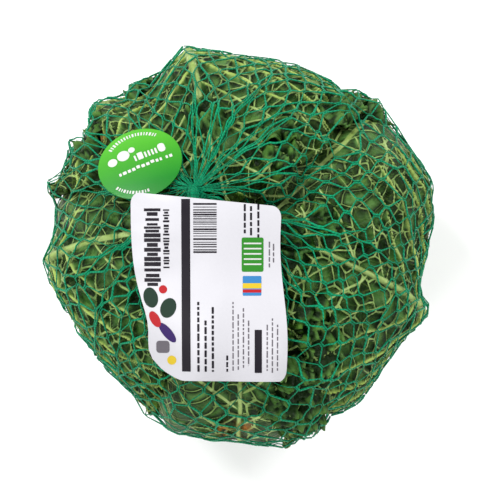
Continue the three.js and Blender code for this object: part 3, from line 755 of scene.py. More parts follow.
def net_knots():
    """Directions of the knots, made uneven, and their degrees from the gather"""
    rings = net_rings()
    ring, column = np.indices((len(rings), NET_COLUMNS))
    turn = 2 * np.pi * (column + (ring % 2) / 2) / NET_COLUMNS
    polar = rings[:, None] * np.ones_like(turn)
    gathered = 1 - smooth_step(np.degrees(polar), 14, 52)
    bunch = 0.062 * np.sin(13 * turn + 0.6) + 0.034 * np.sin(23 * turn + 2.2) + 0.1 * np.sin(4 * turn + 5.1)
    turn = turn + bunch * (0.15 + 0.85 * gathered)
    px, py = turn * 60 + 500, polar * 90 + 500
    rng = np.random.default_rng(KNOT_SEED)
    wide = np.sin(polar)
    turn = turn + wide * (3.2 * rough(px, py, 30, 71) + 1.9 * rough(px, py, 13, 72)) / NET_GIRTH
    polar = polar + wide * (3.4 * rough(px, py, 34, 73) + 1.7 * rough(px, py, 13, 74)) / NET_GIRTH
    turn = turn + rng.uniform(-1, 1, turn.shape) * 1.1 / NET_GIRTH
    polar = polar + rng.uniform(-1, 1, turn.shape) * 1.2 / NET_GIRTH * wide
    direction = net_direction(polar, turn)
    for x, y, push, size in OPEN_CELLS:
        apart = direction - towards_top(np.array(x), np.array(y))
        length = np.linalg.norm(apart, axis=-1, keepdims=True)
        share = push / NET_GIRTH * np.exp(-(length * NET_GIRTH / size) ** 2)
        direction = unit(direction + apart / np.maximum(length, 0.02) * share)
    for path, pull, size in DRAWN_LINES:
        apart = direction[..., None, :] - towards_top(*smooth_path(path, 40).T)
        length = np.linalg.norm(apart, axis=-1)
        nearest = np.argmin(length, axis=-1)[..., None]
        apart = np.take_along_axis(apart, nearest[..., None], axis=-2)[..., 0, :]
        length = np.take_along_axis(length, nearest, axis=-1)
        share = np.minimum(pull / NET_GIRTH / np.maximum(length, 0.001), 0.8)
        direction = unit(direction - apart * share * np.exp(-(length * NET_GIRTH / size) ** 4))
    return direction, np.degrees(polar)


def surface_distance(direction, table):
    return table[map_place(unit(direction))] + YARN_STANDS


def draped_net(direction, polar, table):
    """How far out each knot comes to lie when the net is drawn tight over the head, a little each round"""
    loose = rounded(direction, NET_DROP, NET_FOOT_ROUNDNESS) - 7 * (1 - smooth_step(-direction[..., 2], 0.15, 0.5))
    loose = np.where(direction[..., 2] < 0, loose, 0)
    rise = 6.5 * np.clip(1 - polar / 18, 0, 1) ** 2.2
    least = np.maximum(surface_distance(direction, table), loose)
    distance = least + rise
    at_rim = ridge(direction[..., 2] - 0.1, 0.35, 4.0)
    stands_off = NET_STANDS_OFF + (NET_STANDS_OFF_RIM - NET_STANDS_OFF) * at_rim
    for _ in range(SETTLING_ROUNDS):
        place = direction * distance[..., None]
        above_right, above_left = (place[knot] for knot in next_knots(place.shape, -1))
        below_right, below_left = (place[knot] for knot in next_knots(place.shape, 1))
        mean = (above_right + above_left + below_right + below_left) / 4
        target = np.linalg.norm(mean, axis=-1)
        target[0], target[-1] = distance[0], distance[-1]
        distance = np.maximum(distance * 0.4 + target * 0.6, least)
        distance[0] = least[0] + rise[0]
        for other in next_knots(place.shape, 1):
            for share in (0.25, 0.5, 0.75):
                point = place * (1 - share) + place[other] * share
                length = np.linalg.norm(point, axis=-1)
                short = np.maximum(surface_distance(point / length[..., None], table) - length, 0)
                short[-1] = 0
                distance = distance + short * (1 - share) * 0.5
                np.add.at(distance, other, short * share * 0.5)
        distance = np.minimum(distance, least + rise + stands_off)
        distance = np.minimum(distance, floor_distance(direction))
    return distance


def next_knots(shape, step):
    """The two knots that each one's strands lead to, a ring further down, or up with a step of -1"""
    ring, column = np.indices(shape[:2])
    right = (column + ring % 2) % shape[1]
    beyond = np.clip(ring + step, 0, shape[0] - 1)
    return (beyond, right), (beyond, (right - 1) % shape[1])


def yarn_paths(table):
    """Down each side of each column of knots, two points a knot"""
    direction, polar = net_knots()
    knots = direction * draped_net(direction, polar, table)[..., None]
    beside = unit(np.roll(knots, -1, axis=1) - np.roll(knots, 1, axis=1))
    above, below = (sum(knots[knot] for knot in next_knots(knots.shape, step)) for step in (-1, 1))
    along = unit(below - above)
    along[0], along[-1] = along[1], along[-2]
    wale = np.arange(2 * NET_COLUMNS)
    paths = []
    for ring in range(len(knots)):
        odd = ring % 2
        column = ((wale - odd) // 2) % NET_COLUMNS
        side = np.where(wale % 2 == odd, -1, 1)
        apart = 0.5 * YARN_WIDE * min(1, 0.3 + polar[ring].mean() / 30)
        centre = knots[ring, column] + beside[ring, column] * (side * apart)[:, None]
        paths.append(centre - along[ring, column] * KNOT_HALF)
        paths.append(centre + along[ring, column] * KNOT_HALF)
    return np.stack(paths, axis=1)


def net_yarns(table):
    """Yarns from the neck, over the head along the paths, to the drawn up end below"""
    path = yarn_paths(table)
    pieces = []
    for k in range(path.shape[1] - 1):
        a, b = path[:, k], path[:, k + 1]
        pieces.append(a)
        if k % 2 == 1:
            for share in (0.33, 0.67):
                mid = a * (1 - share) + b * share
                length = np.linalg.norm(mid, axis=-1)
                least = surface_distance(mid / length[:, None], table) - 0.1
                pieces.append(mid * (np.maximum(length, np.minimum(least, length + 1.2)) / length)[:, None])
    pieces.append(path[:, -1])
    body = np.stack(pieces, axis=1) + MIDDLE
    wales = body.shape[0]
    angle = 2 * np.pi * (np.arange(wales) + 0.5) / wales
    rng = np.random.default_rng(NECK_SEED)
    spread = NECK_RADIUS * np.sqrt(rng.uniform(0.1, 1, wales))[:, None]
    bend = GATHER + net_axis * NECK_RISE
    across = unit(np.cross(NECK_LEAN, net_axis))
    upright = np.cross(across, NECK_LEAN)
    ring_way = net_east * np.cos(angle)[:, None] + net_north * np.sin(angle)[:, None]
    ring_lean = unit(across * (ring_way @ across)[:, None] + upright * -(ring_way @ NECK_LEAN)[:, None])
    neck = []
    for far, wide in ((NECK_LENGTH, 1.25), (12, 1.1), (9.5, 0.95), (7, 0.95), (4.5, 1.0), (2.2, 1.0)):
        neck.append(bend + NECK_LEAN * far + ring_lean * spread * wide)
    neck.append(bend + ring_way * spread * 0.9 + NECK_LEAN * 0.3 - net_axis * 0.8)
    neck.append(bend + ring_way * spread * 1.0 - net_axis * 2.6)
    foot = body[:, -1].mean(axis=0)
    foot[2] = KNOT_LOWEST
    tail = []
    for rise, wide in ((0.9, 0.85), (1.6, 0.55), (3.2, 0.32), (5.0, 0.3)):
        centre = foot + np.array([0, 0, rise])
        tail.append(centre + (body[:, -1] - foot) * np.array([wide, wide, 0.2]))
    line = np.concatenate([np.stack(neck, axis=1), body, np.stack(tail, axis=1)], axis=1)
    line[..., 2] = np.maximum(line[..., 2], YARN_LOWEST)
    return line


def yarn_tubes(name, line, slim):
    """Flattened tubes along the lines, closed at both ends"""
    count, length = line.shape[:2]
    tangent = np.empty_like(line)
    tangent[:, 1:-1] = line[:, 2:] - line[:, :-2]
    tangent[:, 0], tangent[:, -1] = line[:, 1] - line[:, 0], line[:, -1] - line[:, -2]
    tangent = unit(tangent)
    outward = unit(line - MIDDLE)
    beside = unit(np.cross(tangent, outward))
    outward = np.cross(beside, tangent)
    run = np.cumsum(np.linalg.norm(np.diff(line, axis=1, prepend=line[:, :1]), axis=-1), axis=1)
    turn = 2 * np.pi * np.arange(YARN_SIDES) / YARN_SIDES
    ring = (beside[:, :, None] * (np.cos(turn) * YARN_WIDE / 2)[:, None]
            + outward[:, :, None] * (np.sin(turn) * YARN_THICK / 2)[:, None]) * slim[:, :, None, None]
    points = line[:, :, None] + ring
    points[..., 2] = np.maximum(points[..., 2], 0.02)
    at = np.arange(count * length * YARN_SIDES).reshape(count, length, YARN_SIDES)
    a, b = at[:, :-1], at[:, 1:]
    quads = np.stack([a, b, np.roll(b, -1, axis=2), np.roll(a, -1, axis=2)], axis=-1).reshape(-1, 4)
    caps = np.concatenate([at[:, 0, :], at[:, -1, ::-1]])
    mesh = bpy.data.meshes.new(name)
    mesh.from_pydata(((points.reshape(-1, 3) + SHIFT) * MM).tolist(), [], quads.tolist() + caps.tolist())
    piece = added(name, mesh)
    around = np.abs(np.linspace(-1, 1, YARN_SIDES + 1)[:-1])
    give_values(piece, slice(None), run=np.repeat(run[:, :, None], YARN_SIDES, axis=2),
                round=np.broadcast_to(around, points.shape[:3]))
    pick(piece)
    bpy.ops.object.shade_smooth()
    return piece


NET_PARTS = 3


def dressed_net():
    line = net_yarns(widened(reach))
    wales = len(line)
    for part in range(NET_PARTS):
        some = line[part * wales // NET_PARTS:(part + 1) * wales // NET_PARTS]
        near = np.linalg.norm(some - GATHER, axis=-1)
        slim = 0.6 + 0.4 * smooth_step(near, 6, 50)
        slim = slim * (0.9 + 0.5 * rough(np.arange(near.size).reshape(near.shape) * 1.0, near, 7, YARN_SEED + part))
        piece = yarn_tubes(f"net_yarn_{part + 1}", some, slim)
        piece.data.materials.append(yarn_finish)
        finish_piece(piece, "net", "net")


# Flat sheets cut to an outline, divided so that they can follow a curve, then laid

SHEET_STEP = 2.6
CREASE = math.radians(35)


def cut_sheet(name, outline, step, lay, thickness, finish):
    """A sheet of this outline, cut into squares of about this step and put where lay says"""
    pick()
    bpy.ops.mesh.primitive_circle_add(vertices=len(outline), radius=1, fill_type="NGON")
    piece = bpy.context.active_object
    piece.name = name
    for vertex, (x, y) in zip(piece.data.vertices, outline):
        vertex.co = (x, y, 0)
    low, high = np.min(outline, axis=0), np.max(outline, axis=0)
    steps = []
    for axis, normal in enumerate(((1, 0, 0), (0, 1, 0))):
        cuts = max(1, math.ceil((high[axis] - low[axis]) / step))
        for cut in range(1, cuts):
            place = [0, 0, 0]
            place[axis] = low[axis] + (high[axis] - low[axis]) * cut / cuts
            steps.append((bpy.ops.mesh.bisect, {"plane_co": place, "plane_no": normal}))
    edit_whole(*steps)
    mesh = piece.data
    flat = points_of(mesh)[:, :2]
    if not mesh.uv_layers:
        mesh.uv_layers.new(name="UVMap")
    lay_points(mesh, lay(flat), flat)
    pick(piece)
    edit_whole((bpy.ops.mesh.normals_make_consistent, {"inside": False}))
    if sum(p.normal.z for p in mesh.polygons) < 0:
        mesh.flip_normals()
    piece.data.materials.append(finish)
    thicken(piece, thickness)
    bpy.ops.object.shade_smooth_by_angle(angle=CREASE)
    return piece


def printed(name, shapes, finish, above, lay_on, slot):
    pieces = [cut_sheet(name, shape, SHEET_STEP, lay_on(above), PRINT_THICK, finish) for shape in shapes]
    finish_piece(joined(pieces, name), slot)


def rounded_box(left, top, right, bottom, radius, corner_steps):
    points = []
    for cx, cy, start in ((right - radius, top - radius, 0), (left + radius, top - radius, 90),
                          (left + radius, bottom + radius, 180), (right - radius, bottom + radius, 270)):
        for k in range(corner_steps + 1):
            turn = math.radians(start + 90 * k / corner_steps)
            points.append((cx + radius * math.cos(turn), cy + radius * math.sin(turn)))
    return points


# Label: a paper sheet with its solid's corners and left bow, and a fuller lower left corner

TOP_LEFT = np.array([-50.5, 24.5])
TOP_RIGHT = np.array([19.5, 17.5])
LOW_RIGHT = np.array([21.5, -63.8])
LOW_LEFT = np.array([-24.0, -63.4])
LABEL_THICK = 0.3
LABEL_SIZE = 70.0
LABEL_CORNER = 4.5
LABEL_LEFT_BOW = -12.5
LABEL_CORNER_BOW = -9.5
LABEL_CLEAR = 9.4
LABEL_LIFT = 11.0
LABEL_LIFT_END = -22.0
LABEL_WAVE = 1.2
PRINT_THICK = 0.04
PRINT_CLEAR = 0.07
PRINT_OVER = 0.12
PAPER_SEED, PRINT_SEED = 811, 5


def label_edges(down):
    left = TOP_LEFT[0] + (LOW_LEFT[0] - TOP_LEFT[0]) * down
    left = left + LABEL_LEFT_BOW * np.sin(np.pi * down) * (0.6 + 0.4 * down)
    left = left + LABEL_CORNER_BOW * ridge(down - 0.89, 0.15)
    right = TOP_RIGHT[0] + (LOW_RIGHT[0] - TOP_RIGHT[0]) * down - LABEL_WAVE * np.sin(2 * np.pi * down)
    left_y = TOP_LEFT[1] + (LOW_LEFT[1] - TOP_LEFT[1]) * down
    right_y = TOP_RIGHT[1] + (LOW_RIGHT[1] - TOP_RIGHT[1]) * down
    return left, right, left_y, right_y


def label_flat(down, across):
    left, right, left_y, right_y = label_edges(down)
    return np.stack([left + (right - left) * across, left_y + (right_y - left_y) * across], axis=-1)


def label_share(x, y):
    """How far down and across the label a place on the plan is, from 0 to 1"""
    down = np.full_like(x, 0.5)
    across = np.full_like(x, 0.5)
    for _ in range(12):
        left, right, _, _ = label_edges(down)
        across = (x - left) / (right - left)
        top = TOP_LEFT[1] + (TOP_RIGHT[1] - TOP_LEFT[1]) * across
        low = LOW_LEFT[1] + (LOW_RIGHT[1] - LOW_LEFT[1]) * across
        down = np.clip((top - y) / (top - low), -0.05, 1.05)
    return down, across


def on_label(above):
    def lay(flat):
        x, y = flat[:, 0], flat[:, 1]
        down, across = label_share(x, y)
        lift = LABEL_LIFT * smooth_step(y, LABEL_LIFT_END, TOP_LEFT[1])
        wave = LABEL_WAVE * np.sin(2 * np.pi * down + np.pi) * across
        wave = wave + 0.35 * np.sin(5.5 * down + 9 * across) + 0.25 * rough(x + 200, y + 200, 16, PAPER_SEED)
        z = top_height(x, y) + LABEL_CLEAR + lift + wave + above
        return np.stack([x, y, z], axis=-1)
    return lay


def dressed_label():
    outline = [(1 - v / LABEL_SIZE, u / LABEL_SIZE)
               for u, v in rounded_box(0, LABEL_SIZE, LABEL_SIZE, 0, LABEL_CORNER, 6)]
    dense = []
    for (down, across), (next_down, next_across) in zip(outline, outline[1:] + outline[:1]):
        steps = max(1, int(math.hypot(next_down - down, next_across - across) / 0.05))
        for step in range(steps):
            t = step / steps
            dense.append((down + (next_down - down) * t, across + (next_across - across) * t))
    piece = cut_sheet("label_sheet", label_flat(*np.array(dense).T), SHEET_STEP, on_label(0), LABEL_THICK,
                      paper_finish)
    finish_piece(piece, "label", "label")
    print_on_label()


def box(left, top, right, bottom, radius=0.25):
    radius = min(radius, (right - left) * 0.45, (top - bottom) * 0.45)
    return rounded_box(left, top, right, bottom, radius, 3)


def oval(x, y, wide, tall, turn=0.0, steps=28):
    points = []
    for k in range(steps):
        t = 2 * math.pi * k / steps
        u, v = wide / 2 * math.cos(t), tall / 2 * math.sin(t)
        points.append((x + u * math.cos(turn) - v * math.sin(turn), y + u * math.sin(turn) + v * math.cos(turn)))
    return points


# Print on the label, in millimetres on the plan. Rows of short lines: left, top, bottom, width, least and most
# height. Runs of dashes: left, top, bottom and width
BARS = (-21.36, 19.2, -10.56, -3.36)
SHORT_LINES = [(-44.16, 16.8, -17.76, 7.68, 1.056, 2.016), (-35.28, 16.32, -11.04, 2.88, 0.576, 1.152)]
DARK_DASHES = [(-19.68, -26.4, -59.04, 1.056), (-16.32, -35.04, -59.04, 1.056), (-12.96, -28.8, -59.04, 1.056),
               (-6.24, -51.36, -59.04, 0.96), (1.92, 18.72, 5.28, 0.96), (4.8, 17.76, 4.32, 0.96),
               (8.16, 18.72, 3.36, 0.96)]
GREY_DASHES = [(x, top, bottom, 0.624) for x, top, bottom in
               ((-3.36, -26.4, -58.56), (-0.96, -32.16, -58.08), (1.44, -29.28, -57.12), (3.84, -35.04, -56.16),
                (12.48, -36.96, -58.56), (14.88, -34.08, -59.52), (17.28, -36.96, -59.04), (13.44, 1.44, -11.04),
                (15.36, 0.48, -8.16))]
PANEL_STRIPES = (0.96, -1.44, -3.84, -6.24, -8.64)


def dashes(rng, runs, least, most, gap, radius):
    marks = []
    for x, y, bottom, wide in runs:
        while y > bottom:
            tall = rng.uniform(least, most)
            marks.append(box(x, y, x + wide, max(y - tall, bottom), radius))
            y -= tall + gap
    return marks


def print_on_label():
    rng = np.random.default_rng(PRINT_SEED)
    left, y, right, bottom = BARS
    bars, lines = [], []
    while y > bottom:
        tall = float(rng.choice([0.336, 0.528, 0.816]))
        bars.append(box(left, y, right, y - tall, 0.05))
        y -= tall + float(rng.choice([0.384, 0.576, 0.864]))
    for x, y, bottom, wide, least, most in SHORT_LINES:
        while y > bottom:
            tall = rng.uniform(least, most)
            trim = rng.choice([0.0, 0.0, 0.18, 0.35]) * wide
            lines.append(box(x + trim * 0.5, y, x + wide - trim * 0.5, y - tall, 0.12))
            y -= tall + (0.432 if rng.random() < 0.85 else 1.056)
    lines += dashes(rng, DARK_DASHES, 1.44, 3.84, 0.768, 0.2)
    lines.append(box(6.96, -39.36, 10.32, -59.52, 0.2))
    grey_lines = dashes(rng, GREY_DASHES, 0.96, 3.36, 0.72, 0.1)
    left, right = 1.44, 10.08
    stripes = [box(1.92, y, right, y - 0.672, 0.2) for y in PANEL_STRIPES]
    for name, shapes, colour, above in (
            ("label_band", [box(-26.88, 21.12, -22.8, -59.04)], "ink_dark", PRINT_CLEAR),
            ("label_bars", bars, "ink_dark", PRINT_CLEAR),
            ("label_dark_lines", lines, "ink_dark", PRINT_CLEAR),
            ("label_small_lines", grey_lines, "ink_grey", PRINT_CLEAR),
            ("label_green_panel", [box(0.96, 3.36, 11.04, -12.48, 0.8)], "ink_green", PRINT_CLEAR),
            ("label_panel_stripes", stripes, "ink_white", PRINT_OVER),
            ("label_blue_square", [box(left, -14.4, right, -23.52, 0.5)], "ink_blue", PRINT_CLEAR),
            ("label_yellow_band", [box(left, -17.76, right, -20.16, 0.2), oval(-31.68, -53.76, 4.32, 4.32)],
             "ink_yellow", PRINT_OVER),
            ("label_red_marks", [box(left, -20.64, right, -22.08, 0.2), oval(-39.36, -34.56, 4.32, 8.16, 0.5),
                                 oval(-35.52, -20.64, 3.84, 3.84)], "ink_red", PRINT_OVER),
            ("label_deep_green_shapes", [oval(-41.28, -24.48, 6.72, 9.6, 0.25),
                                         oval(-33.12, -29.28, 7.2, 9.6, -0.4)], "ink_deep_green", PRINT_CLEAR),
            ("label_purple_shape", [oval(-33.6, -40.8, 4.32, 11.52, 0.7)], "ink_purple", 0.09),
            ("label_grey_square", [box(-38.88, -44.64, -32.64, -50.4, 1.4)], "ink_grey", PRINT_CLEAR)):
        printed(name, shapes, inks[colour], above, on_label, "label")


# Tag: a thin glossy card, domed a little, that lies over the strands

TAG_PLACE = (-46.5, 38.0)
TAG_RADIUS = 20.0
TAG_THICK = 0.6
TAG_STEP = 2.5
TAG_CLEAR = 8.6
TAG_FACING = (-0.2, 0.56, 0.80)
TAG_TILT = math.radians(27)
TAG_RIM = 15.9
TAG_SEED = 3
TAG_SPOTS = [(-8.4, 3.6, 3.0), (-13.0, -0.2, 2.3), (-5.0, 7.0, 1.6)]


def tag_frame():
    x, y = TAG_PLACE
    normal = unit(np.array(TAG_FACING))
    across = unit(np.cross(np.array([0.0, 1.0, 0.0]), normal))
    centre = np.array([x, y, float(top_height(np.array(x), np.array(y))) + TAG_CLEAR])
    return centre, across, np.cross(normal, across), normal


def on_tag(above):
    centre, across, up, normal = tag_frame()

    def lay(flat):
        u, v = flat[:, 0], flat[:, 1]
        dip = 0.9 - 0.003 * (u * u + v * v)
        return centre + u[:, None] * across + v[:, None] * up + (dip + above)[:, None] * normal
    return lay


def dressed_tag():
    turn = np.linspace(0, 2 * np.pi, 72, endpoint=False)
    outline = np.stack([np.cos(turn), np.sin(turn)], axis=-1) * TAG_RADIUS
    piece = cut_sheet("tag_card", outline, TAG_STEP, on_tag(0), TAG_THICK, tag_finish)
    finish_piece(piece, "tag", "tag")
    marks = []
    rng = np.random.default_rng(TAG_SEED)

    def rim_strokes(first, last, radius, tall):
        turn = first
        while turn < last:
            wide = rng.uniform(1.6, 3.4)
            a, b = math.radians(turn), math.radians(turn + wide)
            marks.append([(r * math.cos(t), r * math.sin(t)) for r, t in
                          ((radius, a), (radius + tall, a), (radius + tall, b), (radius, b))])
            turn += wide + 2.4

    rim_strokes(72, 158, TAG_RIM, 1.9)
    rim_strokes(238, 292, TAG_RIM, 1.6)

    def bar(x, y, wide, tall, radius):
        tilted = [(u * math.cos(TAG_TILT) - v * math.sin(TAG_TILT), u * math.sin(TAG_TILT) + v * math.cos(TAG_TILT))
                  for u, v in rounded_box(x, y + tall, x + wide, y, radius, 3)]
        marks.append(tilted)

    x = -1.5
    for wide in (0.9, 2.6, 0.9, 0.9, 0.9, 0.9):
        bar(x, 1.2, wide, 4.2 if wide > 1 else 3.4, 0.35)
        x += wide + 0.8
    bar(10.4, 1.0, 3.4, 5.2, 1.6)
    x = -11.0
    while x < 15.5:
        wide = rng.uniform(0.7, 1.9)
        bar(x, -3.6 + rng.choice([0, 0, 0.4]), wide, 1.7, 0.25)
        x += wide + (0.7 if rng.random() < 0.8 else 1.9)
    marks += [oval(x, y, 2 * radius, 2 * radius, steps=24) for x, y, radius in TAG_SPOTS]
    printed("tag_marks", marks, inks["ink_white"], 0.08, on_tag, "tag")


# Clip: a bent metal band round the neck of the net

def dressed_clip():
    pick()
    bpy.ops.mesh.primitive_cylinder_add(vertices=40, radius=CLIP_RADIUS * MM, depth=CLIP_LENGTH * MM,
                                        end_fill_type="NOTHING")
    piece = bpy.context.active_object
    piece.name = "clip_band"
    edit_whole((bpy.ops.mesh.subdivide, {"number_cuts": 3}))
    side = unit(np.cross(NECK_LEAN, [0, 0, 1.0]))
    top = np.cross(side, NECK_LEAN)
    centre = GATHER + net_axis * NECK_RISE + NECK_LEAN * (CLIP_PLACE + CLIP_LENGTH / 2)
    for v in piece.data.vertices:
        x, y, z = np.array(v.co) / MM
        press = 1 - 0.05 * math.exp(-(z / 1.2) ** 2) + 0.02 * math.sin(6 * math.atan2(y, x))
        v.co = (centre + side * x * press + top * y * press + NECK_LEAN * z + SHIFT) * MM
    thicken(piece, CLIP_THICK, 0)
    use_modifier(piece, "BEVEL", width=CLIP_ROUNDING * MM, segments=2)
    piece.data.materials.append(clip_finish)
    finish_piece(piece, "clip", "net_clip")


# Finishes

def paint(red, green, blue):
    values = []
    for value in (red, green, blue):
        value = value / 255
        values.append(value / 12.92 if value <= 0.04045 else ((value + 0.055) / 1.055) ** 2.4)
    return (*values, 1.0)


class Board:
    """Nodes of one tree, added with their settings and joined"""

    def __init__(self, tree):
        self.tree = tree

    def add(self, kind, **settings):
        node = self.tree.nodes.new(kind)
        for key, value in settings.items():
            setattr(node, key, value)
        return node

    def join(self, out, into):
        self.tree.links.new(out, into)

    def blend(self, share, first, second):
        node = self.add("ShaderNodeMix", data_type="RGBA")
        for socket, value in ((node.inputs[0], share), (node.inputs[6], first), (node.inputs[7], second)):
            if isinstance(value, (tuple, float, int)):
                socket.default_value = value
            else:
                self.join(value, socket)
        return node.outputs[2]

    def sum(self, operation, first, second=0.0, third=None):
        node = self.add("ShaderNodeMath", operation=operation)
        for socket, value in zip(node.inputs, (first, second, third)):
            if isinstance(value, (float, int)):
                socket.default_value = value
            elif value is not None:
                self.join(value, socket)
        return node.outputs[0]

    def noise(self, place, scale, detail=3.0):
        node = self.add("ShaderNodeTexNoise")
        for name, value in (("Scale", scale), ("Detail", detail), ("Roughness", 0.55)):
            node.inputs[name].default_value = value
        self.join(place, node.inputs["Vector"])
        return node.outputs["Fac"]

    def spread(self, value, low, high, to_low=0.0, to_high=1.0):
        node = self.add("ShaderNodeMapRange")
        for socket, number in zip(node.inputs[1:5], (low, high, to_low, to_high)):
            socket.default_value = number
        self.join(value, node.inputs[0])
        return node.outputs[0]

    def told(self, name):
        """What the mesh says at each point under this name"""
        return self.add("ShaderNodeAttribute", attribute_name=name).outputs["Fac"]


def new_finish(name, **settings):
    material = bpy.data.materials.new(name)
    material.use_nodes = True
    board = Board(material.node_tree)
    shader = material.node_tree.nodes["Principled BSDF"]
    for key, value in settings.items():
        shader.inputs[key.replace("_", " ")].default_value = value
    return material, board, shader


def bump(board, shader, height, distance, strength=1.0):
    node = board.add("ShaderNodeBump")
    node.inputs["Distance"].default_value = distance
    node.inputs["Strength"].default_value = strength
    board.join(height, node.inputs["Height"])
    board.join(node.outputs["Normal"], shader.inputs["Normal"])


def grain_group():
    """Fine uneven grain: a shade to multiply a colour by, and a height"""
    group = bpy.data.node_groups.new("fine_grain", "ShaderNodeTree")
    for name, way in (("Coarse Scale", "INPUT"), ("Fine Scale", "INPUT"), ("Depth", "INPUT"),
                      ("Shade", "OUTPUT"), ("Height", "OUTPUT")):
        group.interface.new_socket(name, in_out=way, socket_type="NodeSocketFloat")
    board = Board(group)
    given = board.add("NodeGroupInput")
    result = board.add("NodeGroupOutput")
    place = board.add("ShaderNodeTexCoord").outputs["Object"]
    coarse = board.add("ShaderNodeTexNoise")
    fine = board.add("ShaderNodeTexNoise")
    for node, name in ((coarse, "Coarse Scale"), (fine, "Fine Scale")):
        node.inputs["Detail"].default_value = 3.0
        board.join(place, node.inputs["Vector"])
        board.join(given.outputs[name], node.inputs["Scale"])
    both = board.sum("ADD", coarse.outputs["Fac"], fine.outputs["Fac"])
    centred = board.sum("SUBTRACT", both, 1.0)
    shade = board.sum("MULTIPLY_ADD", centred, given.outputs["Depth"], 1.0)
    board.join(shade, result.inputs["Shade"])
    board.join(both, result.inputs["Height"])
    return group


def grain(board, coarse, fine, depth):
    node = board.add("ShaderNodeGroup", node_tree=grain_effect)
    for name, value in (("Coarse Scale", coarse), ("Fine Scale", fine), ("Depth", depth)):
        node.inputs[name].default_value = value
    return node


def shaded(board, colour, shade):
    node = board.add("ShaderNodeVectorMath", operation="SCALE")
    if isinstance(colour, tuple):
        node.inputs[0].default_value = colour[:3]
    else:
        board.join(colour, node.inputs[0])
    board.join(shade, node.inputs["Scale"])
    return node.outputs[0]


def from_wall(board, name):
    """Millimetres from a wall, exact between the points too"""
    near = board.sum("ABSOLUTE", board.told(name))
    far = board.sum("SUBTRACT", board.told(name + "_far"), 0.8)
    return board.sum("MAXIMUM", near, far)


# Among the leaf colours, the sheen colour is a painted reflection, and the rim colour is both the margin's own
# lighter green and a painted highlight
BLADE_DARK, BLADE_LIGHT, PAINTED_SHEEN, RIM_AND_HIGHLIGHT = (38, 82, 22), (80, 120, 58), (84, 112, 70), (66, 100, 24)
# The cell edge and pit colours are painted shade; the fine vein colour is the veins' own
CELL_EDGE_SHADE, PIT_SHADE, FINE_VEIN = (2, 16, 0), (3, 18, 0), (112, 142, 58)
THREAD_DARK, THREAD_LIGHT, RIB_DARK, RIB_LIGHT = (84, 114, 54), (146, 172, 100), (112, 136, 66), (160, 182, 116)
STEM, WILTED_TIP = (150, 174, 80), (150, 92, 26)


def make_leaf_finish():
    material, board, shader = new_finish("savoy_leaf_skin", Roughness=0.4, Specular_IOR_Level=0.12)
    place = board.add("ShaderNodeTexCoord").outputs["Object"]
    stem, pit = board.told("stem"), board.told("pit")
    rim, wilt = board.told("rim"), board.told("wilt")
    patchy = board.spread(board.noise(place, 50.0, 4.0), 0.35, 0.65)
    blade = board.blend(patchy, paint(*BLADE_DARK), paint(*BLADE_LIGHT))
    # The rim colour is the margin's own lighter green on the leaves, and a painted highlight on the crests of the
    # curled edges and the tops of the heart's blisters
    blade = board.blend(board.spread(rim, 0.0, 1.0, 0.0, 0.85), blade, paint(*RIM_AND_HIGHLIGHT))
    # Painted sheen: patches of greyish colour stand in for the soft reflection of light on the blade
    painted_sheen = board.spread(board.noise(place, 140.0, 3.0), 0.46, 0.72, 0.0, 0.4)
    blade = board.blend(painted_sheen, blade, paint(*PAINTED_SHEEN))
    # Painted shade: the blade darkens towards the walls between cells, where the sunk cells curve down
    edge = board.spread(board.told("wall_far"), 0.6, 2.9, 1.0, 0.0)
    blade = board.blend(edge, blade, paint(*CELL_EDGE_SHADE))
    # Painted shade in the sunk cells, darker in some cells than in others
    pit_shade_share = board.spread(pit, 0.1, 0.8, 0.0, 0.9)
    blade = board.blend(pit_shade_share, blade, paint(*PIT_SHADE))
    streak = board.spread(board.noise(place, 90.0, 4.0), 0.35, 0.68)
    fine = board.spread(from_wall(board, "fine"), 0.1, 0.4, 0.28, 0.0)
    colour = board.blend(board.sum("MULTIPLY", fine, streak), blade, paint(*FINE_VEIN))
    width = board.told("wall_width")
    wall = board.spread(board.sum("SUBTRACT", width, from_wall(board, "wall")), -0.16, 0.12)
    wall = board.sum("MULTIPLY", wall, board.spread(width, 0.0, 0.25))
    thread = board.blend(streak, paint(*THREAD_DARK), paint(*THREAD_LIGHT))
    colour = board.blend(wall, colour, thread)
    off = board.sum("MULTIPLY", board.sum("PINGPONG", board.told("branch"), 0.5), LATERAL_ACROSS)
    off = board.sum("SUBTRACT", board.told("branch_width"), off)
    branch = board.spread(off, -0.18, 0.15)
    branch = board.sum("MULTIPLY", branch, board.spread(board.told("branch_width"), 0.0, 0.3))
    branch = board.sum("MAXIMUM", branch, board.spread(board.told("rib"), -0.3, 0.25))
    colour = board.blend(branch, colour, board.blend(streak, paint(*RIB_DARK), paint(*RIB_LIGHT)))
    colour = board.blend(board.spread(stem, 0.25, 0.95, 0.0, 0.9), colour, paint(*STEM))
    brown = board.sum("MULTIPLY", wilt, board.spread(board.noise(place, 260.0, 3.0), 0.42, 0.6))
    colour = board.blend(brown, colour, paint(*WILTED_TIP))
    board.join(colour, shader.inputs["Base Color"])
    board.join(board.spread(board.noise(place, 300.0, 2.0), 0.3, 0.7, 0.36, 0.58), shader.inputs["Roughness"])
    height = board.sum("ADD", board.noise(place, 900.0, 3.0), board.sum("MULTIPLY", fine, 1.2))
    bump(board, shader, height, 0.0004, 0.8)
    return material


def make_plain_finish(name, colour, coarse, fine, depth, distance, **settings):
    material, board, shader = new_finish(name, **settings)
    effect = grain(board, coarse, fine, depth)
    board.join(shaded(board, colour, effect.outputs["Shade"]), shader.inputs["Base Color"])
    bump(board, shader, effect.outputs["Height"], distance)
    return material


